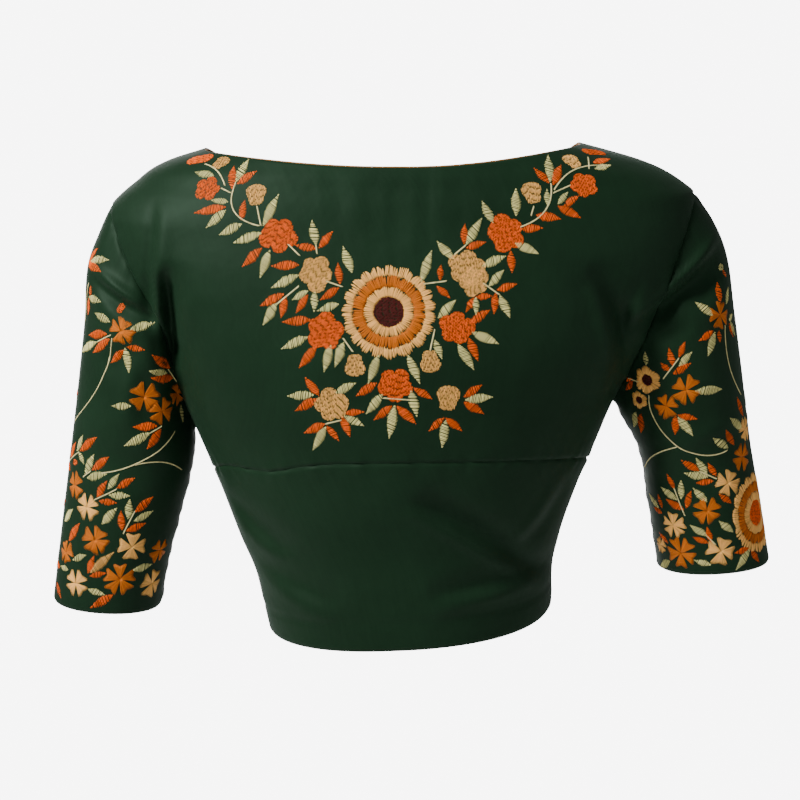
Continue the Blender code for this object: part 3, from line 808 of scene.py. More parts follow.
weave, weave_in, weave_out = new_group(
    "satin_weave",
    [
        ("Vector", "NodeSocketVector", None),
        ("Threads per metre", "NodeSocketFloat", THREADS_PER_METRE),
        ("Slub", "NodeSocketFloat", SLUB_SHARE),
    ],
    [("Height", "NodeSocketFloat"), ("Tone", "NodeSocketFloat")],
)
warp = add_node(weave, "ShaderNodeMapping")
warp.inputs["Scale"].default_value = (1.0, FLOAT_STRETCH, 1.0)
weave.links.new(weave_in.outputs["Vector"], warp.inputs["Vector"])
floats = noise_node(weave, warp.outputs["Vector"], THREADS_PER_METRE, 2.0)
weave.links.new(weave_in.outputs["Threads per metre"], floats.inputs["Scale"])
slubs = noise_node(weave, warp.outputs["Vector"], SLUB_SCALE, 3.0)
slub_part = math_node(weave, "MULTIPLY", slubs.outputs["Fac"], weave_in.outputs["Slub"])
weave.links.new(math_node(weave, "ADD", floats.outputs["Fac"], slub_part), weave_out.inputs["Height"])
weave.links.new(slubs.outputs["Fac"], weave_out.inputs["Tone"])

twist, twist_in, twist_out = new_group(
    "thread_twist",
    [("Vector", "NodeSocketVector", None), ("Strands", "NodeSocketFloat", TWIST_STRANDS)],
    [("Height", "NodeSocketFloat")],
)
ply = add_node(twist, "ShaderNodeTexWave", wave_type="BANDS", bands_direction="DIAGONAL")
ply.inputs["Distortion"].default_value = TWIST_DISTORTION
twist.links.new(twist_in.outputs["Vector"], ply.inputs["Vector"])
twist.links.new(twist_in.outputs["Strands"], ply.inputs["Scale"])
twist.links.new(ply.outputs["Fac"], twist_out.inputs["Height"])
print("groups:", weave.name, twist.name)

# %% [markdown]
# The cloth itself is a dark bottle green whose shine is soft and a little greener than the light. Its tone
# drifts over a hand's width and varies a little from thread to thread, and a shallow rumple breaks up the
# shine. Both could be painted, but noise over the object's own coordinates needs no picture and never ends.

# %% The satin
DARK_GREEN, LIGHT_GREEN, SATIN_ROUGHNESS = (0.0056, 0.0185, 0.0078), (0.0086, 0.027, 0.0118), 0.56
DRIFT_SCALE, RUMPLE_SCALE = 14.0, 55.0
WEAVE_TONE_SHARE = 0.28
TONE_RANGE = (0.30, 0.70)
RUMPLE_HEIGHT, WEAVE_HEIGHT, WEAVE_STRENGTH = 0.6 * MM, 0.06 * MM, 0.45


def group_node(tree, group):
    """A node that stands for a whole node group."""
    node = tree.nodes.new("ShaderNodeGroup")
    node.node_tree = group
    return node


def add_bump(tree, height, distance, strength=1.0, normal=None):
    """A bump of this height in metres, laid over another one if a normal is given."""
    node = add_node(tree, "ShaderNodeBump")
    node.inputs["Distance"].default_value = distance
    node.inputs["Strength"].default_value = strength
    tree.links.new(height, node.inputs["Height"])
    if normal is not None:
        tree.links.new(normal, node.inputs["Normal"])
    return node.outputs["Normal"]


def satin_material(name, dark, light, roughness):
    """Satin between two tones, with its weave and a shallow rumple."""
    made = plain_material(name, light, roughness)
    tree, shader = made.node_tree, made.node_tree.nodes["Principled BSDF"]
    cloth_map = add_node(tree, "ShaderNodeUVMap", uv_map="cloth")
    fabric = group_node(tree, weave)
    tree.links.new(cloth_map.outputs["UV"], fabric.inputs["Vector"])
    place = add_node(tree, "ShaderNodeTexCoord")
    drift = noise_node(tree, place.outputs["Object"], DRIFT_SCALE, 3.0)
    threads = math_node(tree, "MULTIPLY", fabric.outputs["Tone"], WEAVE_TONE_SHARE)
    clouds = math_node(tree, "MULTIPLY", drift.outputs["Fac"], 1 - WEAVE_TONE_SHARE)
    tones = ramp_node(tree, math_node(tree, "ADD", threads, clouds), zip(TONE_RANGE, (dark, light)))
    tree.links.new(tones, shader.inputs["Base Color"])
    rumple = noise_node(tree, place.outputs["Object"], RUMPLE_SCALE, 2.0)
    soft = add_bump(tree, rumple.outputs["Fac"], RUMPLE_HEIGHT)
    fine = add_bump(tree, fabric.outputs["Height"], WEAVE_HEIGHT, WEAVE_STRENGTH, soft)
    tree.links.new(fine, shader.inputs["Normal"])
    shader.inputs["Sheen Weight"].default_value = 0.03
    shader.inputs["Sheen Roughness"].default_value = 0.45
    shader.inputs["Sheen Tint"].default_value = (0.45, 0.80, 0.55, 1)
    shader.inputs["Specular IOR Level"].default_value = 0.13
    shader.inputs["Specular Tint"].default_value = (0.70, 1.0, 0.78, 1)
    return made


SATIN = satin_material("bottle_green_satin", DARK_GREEN, LIGHT_GREEN, SATIN_ROUGHNESS)
print(SATIN.name)

# %% [markdown]
# Each piece of cloth is a flat grid, the way it left the cutting table, whose points are then laid on its
# net. Solidify gives it the thickness of satin with its lining, inwards, so the outside stays on the form.

# %% Lay the cloth
SHELL = 1.1 * MM
WELD = 0.02 * MM


def cloth_piece(name, net):
    """The cloth of one net, with a map in metres along and down it, and a tree that finds its surface."""
    rows, columns = net.points.shape[:2]
    along, down = run_lengths(net.points, 1), run_lengths(net.points, 0)
    bm = bmesh.new()
    bmesh.ops.create_grid(bm, x_segments=columns - 1, y_segments=rows - 1, size=0.5)
    cloth_map = bm.loops.layers.uv.new("cloth")
    places = {}
    for vert in bm.verts:
        places[vert] = round((vert.co.y + 0.5) * (rows - 1)), round((vert.co.x + 0.5) * (columns - 1))
    for vert, place in places.items():
        vert.co = net.points[place]
    for face in bm.faces:
        for loop in face.loops:
            place = places[loop.vert]
            loop[cloth_map].uv = along[place], down[place]
    bm.normal_update()
    spine = Vector(net.points.reshape(-1, 3).mean(axis=0) * [1, 0, 1])
    leans = (face.normal.dot(face.calc_center_median() - spine) * face.calc_area() for face in bm.faces)
    if sum(leans) < 0:
        bmesh.ops.reverse_faces(bm, faces=bm.faces)
    if net.wraps:
        bmesh.ops.remove_doubles(bm, verts=bm.verts, dist=WELD)
    mesh = bpy.data.meshes.new(name)
    bm.to_mesh(mesh)
    tree = BVHTree.FromBMesh(bm)
    bm.free()
    mesh.shade_smooth()
    mesh.materials.append(SATIN)
    piece = add_object(name, mesh)
    shell = piece.modifiers.new("lining", "SOLIDIFY")
    shell.thickness = SHELL
    shell.offset = -1
    return piece, tree


Cut = namedtuple("Cut", "width length area")
pieces, trees = {}, {}
for name, net in nets.items():
    pieces[name], trees[name] = cloth_piece(name + "_cloth", net)
    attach(pieces[name], "root")
    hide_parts(name)
print("cloth:", sorted(pieces))

# %% [markdown]
# The neck is finished with a thin tan piping, a cord sewn round the cloth's edge. A curve with a round
# bevel makes it in one go from the points of that edge, so it sits on the satin all the way. At the lap the
# left one runs in under the right front.

# %% The neck piping
PIPING_RADIUS, PIPING_LIFT, PIPING_STEP = 0.70 * MM, 0.25 * MM, 0.4 * MM
PIPING_STRANDS, PIPING_ROUGHNESS = 260.0, 0.6
TWIST_HEIGHT, TWIST_STRENGTH = 0.2 * MM, 0.6


def neck_line(name, columns):
    """The middle of the cloth's edge, along these columns of the piece's top row."""
    edge, below = nets[name].points[0][columns], nets[name].points[2][columns]
    return edge - normals[name][0][columns] * SHELL / 2 + unit(edge - below) * PIPING_LIFT


def finished_mesh(carrier):
    """The mesh that an object's curve or modifiers make. The object itself is taken away."""
    shaped = carrier.evaluated_get(bpy.context.evaluated_depsgraph_get())
    made = bpy.data.meshes.new_from_object(shaped)
    bpy.data.objects.remove(carrier)
    return made


whole_lap = np.concatenate([np.full(len(LAP_GAPS) + len(LAP_SHARES), True), across_front <= NECK_SHARE])
left_seen = whole_lap & (nets["front_left"].points[0][:, 0] < -LAP - PIPING_RADIUS)
neck = np.concatenate([
    neck_line("front_right", whole_lap),
    neck_line("back_upper", np.abs(across_whole) <= NECK_SHARE)[::-1],
    neck_line("front_left", left_seen)[::-1],
])
apart = np.linalg.norm(np.diff(neck, axis=0, prepend=neck[:1] + 1), axis=1) > PIPING_STEP
neck = neck[apart]
neck_curve = bpy.data.curves.new("neck_line", "CURVE")
neck_curve.dimensions = "3D"
neck_curve.bevel_depth = PIPING_RADIUS
neck_curve.bevel_resolution = 3
neck_curve.use_fill_caps = True
spline = neck_curve.splines.new("POLY")
spline.points.add(len(neck) - 1)
spline.points.foreach_set("co", np.hstack([neck, np.ones((len(neck), 1))]).reshape(-1))
piping_mesh = finished_mesh(add_object("neck_line", neck_curve))
piping_mesh.shade_smooth()

TAN = plain_material("tan_piping_cord", (0.34, 0.155, 0.045), PIPING_ROUGHNESS)
tree, shader = TAN.node_tree, TAN.node_tree.nodes["Principled BSDF"]
strands = group_node(tree, twist)
strands.inputs["Strands"].default_value = PIPING_STRANDS
tree.links.new(add_node(tree, "ShaderNodeTexCoord").outputs["Object"], strands.inputs["Vector"])
twisted = add_bump(tree, strands.outputs["Height"], TWIST_HEIGHT, TWIST_STRENGTH)
tree.links.new(twisted, shader.inputs["Normal"])
shader.inputs["Specular IOR Level"].default_value = 0.2
piping_mesh.materials.append(TAN)
piping = add_object("neck_piping_cord", piping_mesh)
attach(piping, "root")
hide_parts("neck_piping")
print("piping runs through", len(neck), "points")

# %% [markdown]
# The embroidery is thread, laid on the satin stitch by stitch. One stitch is a short strand with a flat
# underside: narrow and low at its ends, where the needle went through, and arched between them. A small
# prism with three sides makes it, repeated as often as a motif needs, and every copy is then bent onto
# the cloth.

# %% One stitch, and how it lies on the cloth
STATIONS = np.array([0.0, 0.22, 0.78, 1.0])
TAPER = np.array([0.55, 1.0, 1.0, 0.55])
ARCH = np.array([0.30, 1.0, 1.0, 0.30])
SINK = 0.08 * MM
TONE_SPREAD = 0.13

stitch_bm = bmesh.new()
bmesh.ops.create_cone(stitch_bm, cap_ends=True, segments=3, radius1=1, radius2=1, depth=3)
lengthwise = [edge for edge in stitch_bm.edges if abs(edge.verts[0].co.z - edge.verts[1].co.z) > 1]
bmesh.ops.subdivide_edges(stitch_bm, edges=lengthwise, cuts=len(STATIONS) - 2)
stitch_mesh = bpy.data.meshes.new("one_stitch")
stitch_bm.to_mesh(stitch_mesh)
stitch_bm.free()
rings = np.array([round(vert.co.z + 1.5) for vert in stitch_mesh.vertices])
corner_x = np.array([vert.co.x for vert in stitch_mesh.vertices])
corner_y = np.array([vert.co.y for vert in stitch_mesh.vertices])
raised = (corner_y > corner_y.max() - 0.01).astype(float)
sideways = np.sign(corner_x.round(3)) * (1 - raised)
print("one stitch has", len(stitch_mesh.vertices), "points")


def repeated(template, count):
    """A mesh with this many copies of the template, one after the other."""
    carrier = add_object("carrier", template)
    carrier.modifiers.new("row", "ARRAY").count = count
    return finished_mesh(carrier)


def nearest(tree, points):
    """The closest points of the cloth, and its outward directions there."""
    found = [tree.find_nearest(Vector(point))[:2] for point in points]
    return np.array([f[0] for f in found]), np.array([f[1] for f in found])


# %% [markdown]
# The thread is shiny and twisted, and its colour carries a painted shade where it dips between its
# neighbours.
# Each stitch carries a tone of its own, since hand stitches never catch the light alike.

# %% Thread materials
# painted shade: how dark the thread is painted on its low edges, and where on the stitch that darkening runs
THREAD_ROUGHNESS, PAINTED_GAP_SHADE = 0.48, 0.30
PAINTED_GAP_SHADE_RANGE = (0.15, 0.75)
STRAND_HEIGHT, STRAND_STRENGTH = 0.08 * MM, 0.5


def thread_material(name, colour):
    """Thread of this colour, with a painted shade that darkens it where it lies low."""
    made = plain_material(name, colour, THREAD_ROUGHNESS)
    tree, shader = made.node_tree, made.node_tree.nodes["Principled BSDF"]
    run = add_node(tree, "ShaderNodeUVMap", uv_map="thread")
    split = add_node(tree, "ShaderNodeSeparateXYZ")
    tree.links.new(run.outputs["UV"], split.inputs[0])
    tone = add_node(tree, "ShaderNodeAttribute", attribute_name="tone")
    # painted shade: the colour darkens towards the stitch's low corners, where its neighbours would shadow
    # it
    painted_gap_colour = tuple(channel * PAINTED_GAP_SHADE for channel in colour)
    colours_with_painted_shade = ramp_node(tree, split.outputs["Y"], zip(PAINTED_GAP_SHADE_RANGE, (painted_gap_colour, colour)))
    shade = add_node(tree, "ShaderNodeHueSaturation")
    tree.links.new(colours_with_painted_shade, shade.inputs["Color"])
    tree.links.new(tone.outputs["Fac"], shade.inputs["Value"])
    tree.links.new(shade.outputs["Color"], shader.inputs["Base Color"])
    strands = group_node(tree, twist)
    tree.links.new(run.outputs["UV"], strands.inputs["Vector"])
    ridges = add_bump(tree, strands.outputs["Height"], STRAND_HEIGHT, STRAND_STRENGTH)
    tree.links.new(ridges, shader.inputs["Normal"])
    shader.inputs["Sheen Weight"].default_value = 0.02
    shader.inputs["Specular IOR Level"].default_value = 0.13
    return made


THREADS = {
    "orange": ("thread_orange", thread_material("orange_thread", (1.0, 0.125, 0.0))),
    "peach": ("thread_peach", thread_material("peach_thread", (0.98, 0.50, 0.125))),
    "brown": ("thread_brown", thread_material("brown_thread", (0.58, 0.140, 0.006))),
    "maroon": ("thread_brown", thread_material("maroon_thread", (0.080, 0.009, 0.006))),
    "cream": ("thread_cream", thread_material("cream_thread", (0.86, 0.79, 0.30))),
    "stem": ("thread_cream", thread_material("stem_thread", (0.86, 0.76, 0.36))),
}
print("threads:", sorted(THREADS))

# %% [markdown]
# A motif is a list of stitches on flat paper, in metres: where each goes in and out, how wide and how high
# it is. Lobed flowers are filled with rows of short running stitches, staggered like bricks. Leaves are
# satin stitch, straight across. Star flowers and the rosette have stitches that run out from the centre.

# %% Motifs, drawn with formulas
STITCH_GAP = 0.80 * MM
ROW_GAP, DISC_GAP = STITCH_GAP * 1.12, 0.7 * MM
SHORTEST_STITCH, STITCH_SHARE = 0.7 * MM, 0.96
THREAD_WIDTH = 1.02 * MM
THREAD_HEIGHT = 0.42 * MM
LEAF_GAP, LEAF_SHAKE = 1.04 * MM, 0.16 * MM
LEAF_START, LEAF_END, LEAF_LEAN, LEAF_TIP = 0.02, 0.98, 0.25, 0.22 * MM
BRICK = 5.0 * MM
LOBES, DISC_SLANT = 5, 20.0
hand = np.random.default_rng(7)


def stitch_rows(start_x, start_y, end_x, end_y, width=THREAD_WIDTH, height=THREAD_HEIGHT):
    """One row of numbers for each stitch."""
    columns = np.broadcast_arrays(start_x, start_y, end_x, end_y, width, height)
    return np.stack(columns, axis=1).astype(float)


def leaf(length, width):
    """Satin stitch across a leaf whose base is at 0, 0 and whose tip lies along x."""
    share = np.linspace(LEAF_START, LEAF_END, max(6, round(length / LEAF_GAP)))
    share = np.clip(share + hand.normal(0, LEAF_SHAKE / length, share.shape), LEAF_START, LEAF_END)
    half = width / 2 * np.sin(np.pi * share**0.86) ** 1.15 + LEAF_TIP
    half = half * hand.normal(1, 0.05, share.shape)
    lean = LEAF_LEAN * half
    return stitch_rows(share * length - lean, -half, share * length + lean, half)


def turned(rows, degrees):
    """The same stitches, turned about the motif's middle."""
    turn = math.radians(degrees)
    out = rows.copy()
    for first in (0, 2):
        out[:, first] = rows[:, first] * math.cos(turn) - rows[:, first + 1] * math.sin(turn)
        out[:, first + 1] = rows[:, first] * math.sin(turn) + rows[:, first + 1] * math.cos(turn)
    return out


def filled_shape(outline, radius, slant, gap=ROW_GAP):
    """Running stitches in staggered rows, cut off where the outline ends."""
    rows = []
    for across in np.arange(-radius * 1.25, radius * 1.25, gap):
        offset = hand.uniform(0, BRICK)
        starts = np.arange(-radius * 1.3 - offset, radius * 1.3, BRICK)
        ends = starts + BRICK * STITCH_SHARE
        line = np.linspace(-radius * 1.3, radius * 1.3, 120)
        inside = line[np.hypot(line, across) <= outline(np.arctan2(across, line))]
        if len(inside) < 2:
            continue
        starts, ends = np.maximum(starts, inside.min()), np.minimum(ends, inside.max())
        kept = ends - starts > SHORTEST_STITCH
        shake = hand.uniform(-0.15, 0.15, kept.sum()) * MM
        rows.append(stitch_rows(starts[kept], across + shake, ends[kept], across - shake))
    return turned(np.concatenate(rows), slant)


def lobed_flower(radius, slant):
    """A rounded flower with shallow notches between its lobes."""
    phase = hand.uniform(0, 2 * math.pi)
    swell = hand.normal(1, 0.07, LOBES)

    def outline(angle):
        place = np.mod(angle * LOBES / (2 * np.pi) + phase, LOBES)
        notched = 0.80 + 0.29 * np.sin(np.pi * np.mod(place, 1)) ** 0.7
        return radius * swell[place.astype(int) % LOBES] * notched

    return filled_shape(outline, radius, slant)


def star_flower(radius, petals, first_turn):
    """Petals that widen to a notched end, each a fan of long stitches."""
    rows = []
    per_petal = max(5, round(radius * 0.95 / STITCH_GAP))
    for petal in range(petals):
        middle = math.radians(first_turn) + 2 * math.pi * petal / petals + hand.normal(0, 0.06)
        spread = np.linspace(-1, 1, per_petal)
        half_angle = math.pi / petals * hand.uniform(0.60, 0.74)
        notched = 0.84 + 0.30 * np.abs(spread) ** 1.4 - 0.12 * np.abs(spread) ** 8
        reach = radius * hand.normal(1, 0.05) * notched
        inner, outer = middle + spread * half_angle * 1.1, middle + spread * half_angle
        start = radius * 0.03
        rows.append(stitch_rows(
            start * np.cos(inner), start * np.sin(inner), reach * np.cos(outer), reach * np.sin(outer),
            width=THREAD_WIDTH * 1.25,
        ))
    return np.concatenate(rows)


def bud(radius, slant):
    """A closed bud: a narrow egg filled with long stitches."""
    return filled_shape(lambda angle: radius * (0.74 + 0.26 * np.cos(2 * angle)), radius, slant)


def cup(radius, slant):
    """A flower seen from its side: narrow at its base, wide at its mouth, filled along its length."""

    def outline(angle):
        return radius * (0.70 + 0.24 * np.cos(angle) + 0.12 * np.cos(2 * angle) - 0.06 * np.cos(4 * angle))

    return filled_shape(outline, radius, slant)


def ring(inner, outer, scallops, height=THREAD_HEIGHT, depth=0.12):
    """A ring of stitches that run outwards, with a scalloped outer edge and a ragged inner one."""
    angle = np.arange(0, 2 * np.pi, STITCH_GAP / (inner * 0.4 + outer * 0.6))
    edge = np.abs(np.sin(angle * scallops / 2 + 0.7 * np.sin(3 * angle))) ** 0.6
    reach = outer * (1 - depth + depth * edge + hand.normal(0, 0.006, angle.shape))
    start = inner * hand.normal(1, 0.02, angle.shape)
    skew = hand.normal(0, 0.02, angle.shape)
    return stitch_rows(
        start * np.cos(angle), start * np.sin(angle),
        reach * np.cos(angle + skew), reach * np.sin(angle + skew),
        width=THREAD_WIDTH * hand.uniform(1.25, 1.7, angle.shape), height=height,
    )


def disc(radius):
    """The plain filled middle of a rosette."""
    return filled_shape(lambda angle: radius * (1 + 0.05 * np.sin(5 * angle)), radius, DISC_SLANT, DISC_GAP)


print("a leaf of 16 mm takes", len(leaf(16 * MM, 6 * MM)), "stitches")

# %% [markdown]
# A place on the cloth is found the way that an embroiderer would mark it: a straight line of sight from the
# camera through a point of the photograph meets the cloth there. The sleeves' hidden sides are worked the
# same way from the front, so the vine goes on round the arm.

# %% Find places on the cloth and lay motifs there
MISSES = 14
EDGE_ON = 0.42
PIXEL = 0.74 * MM
sewn = {}
Spot = namedtuple("Spot", "place normal scale facing")


def spot(panel, px, py, behind=True):
    """The place where this pixel shows the panel, looking from behind or, mirrored, from before.

    A line that just misses the panel tries again, pixel by pixel, towards its middle.
    """
    flip = Vector((1, 1 if behind else -1, 1))
    middle = nets[panel].points.mean(axis=(0, 1))
    toward = 1 if middle[0] > (px - PICTURE_SIDE / 2) * PIXEL else -1
    for step in range(MISSES):
        start, direction = sight_line(px + toward * step, py)
        hit, normal, _, distance = trees[panel].ray_cast(start * flip, direction * flip)
        if hit is not None:
            return Spot(hit, normal, distance / FOCAL_PIXELS, -normal.dot(direction * flip))
    return None


def lay(panel, thread, origin, along, side, rows):
    """Put a motif's stitches on the panel's cloth."""
    start = origin + rows[:, 0:1] * along + rows[:, 1:2] * side
    end = origin + rows[:, 2:3] * along + rows[:, 3:4] * side
    sewn.setdefault((panel, thread), []).append(np.hstack([start, end, rows[:, 4:6]]))


def lay_flower(panel, thread, at, rows):
    """Lay a motif with its middle at this spot, upright."""
    up = Vector((0, 0, 1)) - at.normal * at.normal.z
    up.normalize()
    lay(panel, thread, np.array(at.place), np.array(up.cross(at.normal)), np.array(up), rows)


def lay_leaf(panel, thread, base, tip, width):
    """Lay a leaf between two spots."""
    run = tip.place - base.place
    normal = (base.normal + tip.normal).normalized()
    side = normal.cross(run).normalized()
    along = np.array(run.normalized())
    lay(panel, thread, np.array(base.place), along, np.array(side), leaf(run.length, width))


STEM_STEP, STEM_LEAN, STEM_HEIGHT = 1.15 * MM, 0.34, THREAD_HEIGHT * 1.15


def lay_stem(panel, spots, width):
    """Stem stitch along one smooth curve: short slanted stitches, each beginning beside the one before."""
    points = np.array([at.place for at in spots])
    knots = np.concatenate([[0], np.cumsum(np.linalg.norm(np.diff(points, axis=0), axis=1))])
    bend = np.polyfit(knots / knots[-1], points, len(points) - 1)
    along = np.arange(0, knots[-1], STEM_STEP)
    start = np.vander(np.maximum(0, along - STEM_STEP) / knots[-1], len(points)) @ bend
    end = np.vander(np.minimum(knots[-1], along + STEM_STEP) / knots[-1], len(points)) @ bend
    _, normal = nearest(trees[panel], (start + end) / 2)
    side = unit(np.cross(normal, end - start)) * width * STEM_LEAN
    size = np.broadcast_to([width, STEM_HEIGHT], (len(along), 2))
    sewn.setdefault((panel, "stem"), []).append(np.hstack([start - side, end + side, size]))


print("places are found from", tuple(round(c, 2) for c in camera.location))

# %% [markdown]
# The vine itself. These are ordinary flowers and leaves, so their places follow the photograph and their
# shapes come from the formulas above: no outline is traced. A flower has a centre and a size, a leaf its two
# ends, and a stem two to four points that a smooth curve joins. All are given in the photograph's
# pixels. A broad rosette hangs below the neck with lobed flowers rising from it to both shoulders. In place
# of a number of petals, a word marks the flowers that have none to count: those seen from their side, the
# buds and the round ones.

# %% Places of the back's embroidery
Flower = namedtuple("Flower", "thread px py radius")
Leaf = namedtuple("Leaf", "base_x base_y tip_x tip_y")
Star = namedtuple("Star", "thread px py radius petals turn")
SIDE_ON, BUD, ROUND = 0, 2, 6
BACK = "back_upper"
LOBED_FLOWERS = (
    Flower("orange", 279, 235, 18), Flower("orange", 325, 331, 17), Flower("orange", 395, 385, 16.5),
    Flower("orange", 456, 328, 17), Flower("orange", 506, 233, 17.5), Flower("orange", 208, 189, 13),
    Flower("orange", 584, 185, 13),
    Flower("peach", 316, 272, 17.5), Flower("peach", 466, 268, 18), Flower("peach", 474, 282, 14),
    Flower("peach", 332, 406, 16),
)
CUPS = (
    Star("peach", 256, 198, 15, SIDE_ON, 95), Star("peach", 219, 164, 12, SIDE_ON, 60),
    Star("peach", 533, 196, 15, SIDE_ON, 100), Star("peach", 574, 163, 13, SIDE_ON, 110),
    Star("peach", 355, 362, 15, SIDE_ON, -90), Star("peach", 430, 358, 15, SIDE_ON, -85),
    Star("peach", 448, 402, 17, SIDE_ON, 85), Star("orange", 200, 159, 15, BUD, 24),
    Star("orange", 594, 152, 14, BUD, -18),
)
BACK_LEAVES = {
    "cream": (
        (214, 176, 195, 172), (236, 182, 249, 159), (228, 202, 211, 200), (226, 210, 206, 228),
        (263, 226, 279, 194), (242, 224, 219, 235), (262, 233, 233, 243), (270, 250, 260, 278),
        (316, 245, 312, 220), (299, 275, 271, 288), (277, 303, 263, 325), (308, 291, 292, 300),
        (315, 291, 314, 312), (339, 304, 317, 311), (352, 273, 343, 246), (308, 337, 281, 349),
        (331, 345, 324, 372), (344, 342, 335, 367), (379, 355, 368, 384), (408, 355, 420, 384),
        (383, 394, 366, 414), (395, 405, 389, 439), (411, 390, 417, 417), (435, 340, 442, 359),
        (458, 344, 474, 370), (472, 332, 499, 344), (438, 318, 456, 300), (421, 282, 432, 250),
        (453, 259, 437, 241), (466, 245, 482, 218), (493, 223, 482, 201), (482, 266, 506, 256),
        (489, 286, 504, 270), (500, 295, 510, 318), (476, 297, 476, 315), (515, 243, 539, 254),
        (516, 216, 516, 188), (558, 204, 568, 192), (548, 206, 547, 189), (550, 182, 548, 155),
        (574, 157, 572, 146), (595, 169, 611, 165), (314, 395, 287, 396), (335, 393, 356, 383),
        (344, 416, 364, 426), (326, 427, 313, 450), (465, 400, 493, 397), (446, 420, 442, 448),
    ),
    "orange": (
        (232, 189, 234, 166), (237, 184, 257, 171), (226, 207, 194, 213), (241, 220, 245, 200),
        (262, 248, 242, 267), (316, 249, 295, 245), (319, 248, 333, 231), (299, 265, 271, 266),
        (284, 294, 260, 306), (286, 296, 281, 318), (308, 295, 296, 313), (339, 288, 320, 300),
        (340, 284, 338, 263), (311, 320, 282, 322), (317, 346, 299, 368), (377, 383, 356, 396),
        (392, 406, 374, 420), (397, 406, 416, 424), (414, 388, 432, 399), (469, 338, 478, 361),
        (470, 323, 490, 310), (440, 280, 441, 265), (437, 286, 450, 298), (464, 244, 465, 224),
        (466, 248, 486, 242), (497, 290, 517, 284), (496, 293, 494, 314), (476, 297, 492, 296),
        (474, 298, 466, 312), (511, 251, 512, 273), (521, 229, 543, 228), (536, 215, 561, 219),
        (558, 206, 581, 218), (564, 206, 579, 196), (549, 183, 534, 168), (553, 185, 561, 165),
        (593, 163, 610, 159), (319, 396, 305, 377), (317, 399, 295, 411), (345, 413, 364, 412),
        (342, 416, 350, 437), (325, 424, 304, 433), (327, 426, 339, 441), (464, 397, 482, 385),
        (464, 402, 484, 414), (444, 418, 429, 431), (446, 418, 462, 431),
    ),
}
BACK_STEMS = (
    ((205, 164), (219, 173), (225, 186)), ((236, 182), (233, 209), (260, 226)), ((257, 206), (261, 226)),
    ((288, 244), (300, 256)), ((316, 245), (317, 254)), ((299, 286), (277, 304)), ((326, 281), (343, 287)),
    ((343, 338), (353, 352)), ((435, 329), (430, 351)), ((454, 255), (466, 245)), ((483, 283), (500, 295)),
    ((520, 227), (548, 206), (551, 183)), ((534, 206), (531, 216)), ((554, 190), (572, 171), (611, 166)),
    ((588, 157), (589, 169)), ((383, 398), (409, 400)), ((325, 424), (342, 420)), ((221, 188), (231, 193)),
    ((423, 284), (447, 281)), ((553, 193), (571, 185)),
)
ROSETTE = Flower("peach", 389, 312, 47.5)
print(len(LOBED_FLOWERS) + len(CUPS), "flowers,", sum(map(len, BACK_LEAVES.values())), "leaves on the back")

# %% [markdown]
# The sleeves carry the same vine with other flowers: stars with four or five notched petals, two round ones
# with a dark eye, and buds. Only what shows from behind is listed, and the far side repeats it.

# %% Places of the sleeves' embroidery
ROUND_EYE, ROUND_DEPTH, EYE_OVERLAP = 0.40, 0.26, 0.9
SLEEVE_STARS = {
    "sleeve_left": (
        Star("brown", 121, 331, 15, 4, 70), Star("brown", 144, 397, 16, 4, 35),
        Star("brown", 162, 411, 14, 4, 60), Star("brown", 177, 393, 12, 4, 20),
        Star("brown", 75, 485, 14, 4, 50), Star("peach", 87, 507, 14, 4, 40),
        Star("brown", 95, 540, 15, 4, 60), Star("peach", 132, 547, 15.5, 4, 85),
        Star("brown", 160, 550, 13, 4, 40), Star("brown", 66, 552, 12, 4, 20),
        Star("peach", 76, 583, 14, 4, 45), Star("brown", 120, 579, 17, 5, 15),
        Star("peach", 152, 583, 14, 4, 65), Star("orange", 121, 308, 6, BUD, 60),
        Star("orange", 75, 462, 5, BUD, 10),
    ),
    "sleeve_right": (
        Star("brown", 720, 315, 15, 4, 80), Star("peach", 647, 380, 15, ROUND, 30),
        Star("peach", 639, 400, 10, ROUND, 0), Star("brown", 686, 390, 15, 4, 55),
        Star("brown", 666, 406, 13, 4, 25), Star("peach", 745, 429, 13, 4, 60),
        Star("brown", 742, 457, 14, 4, 35), Star("peach", 728, 483, 13.5, 4, 70),
        Star("brown", 707, 511, 15, 4, 45), Star("peach", 673, 525, 14, 5, 20),
        Star("brown", 681, 553, 17, 5, 50), Star("peach", 721, 551, 15, 4, 80),
        Star("peach", 661, 545, 9, 4, 30), Star("cream", 721, 267, 5, BUD, 30),
    ),
}
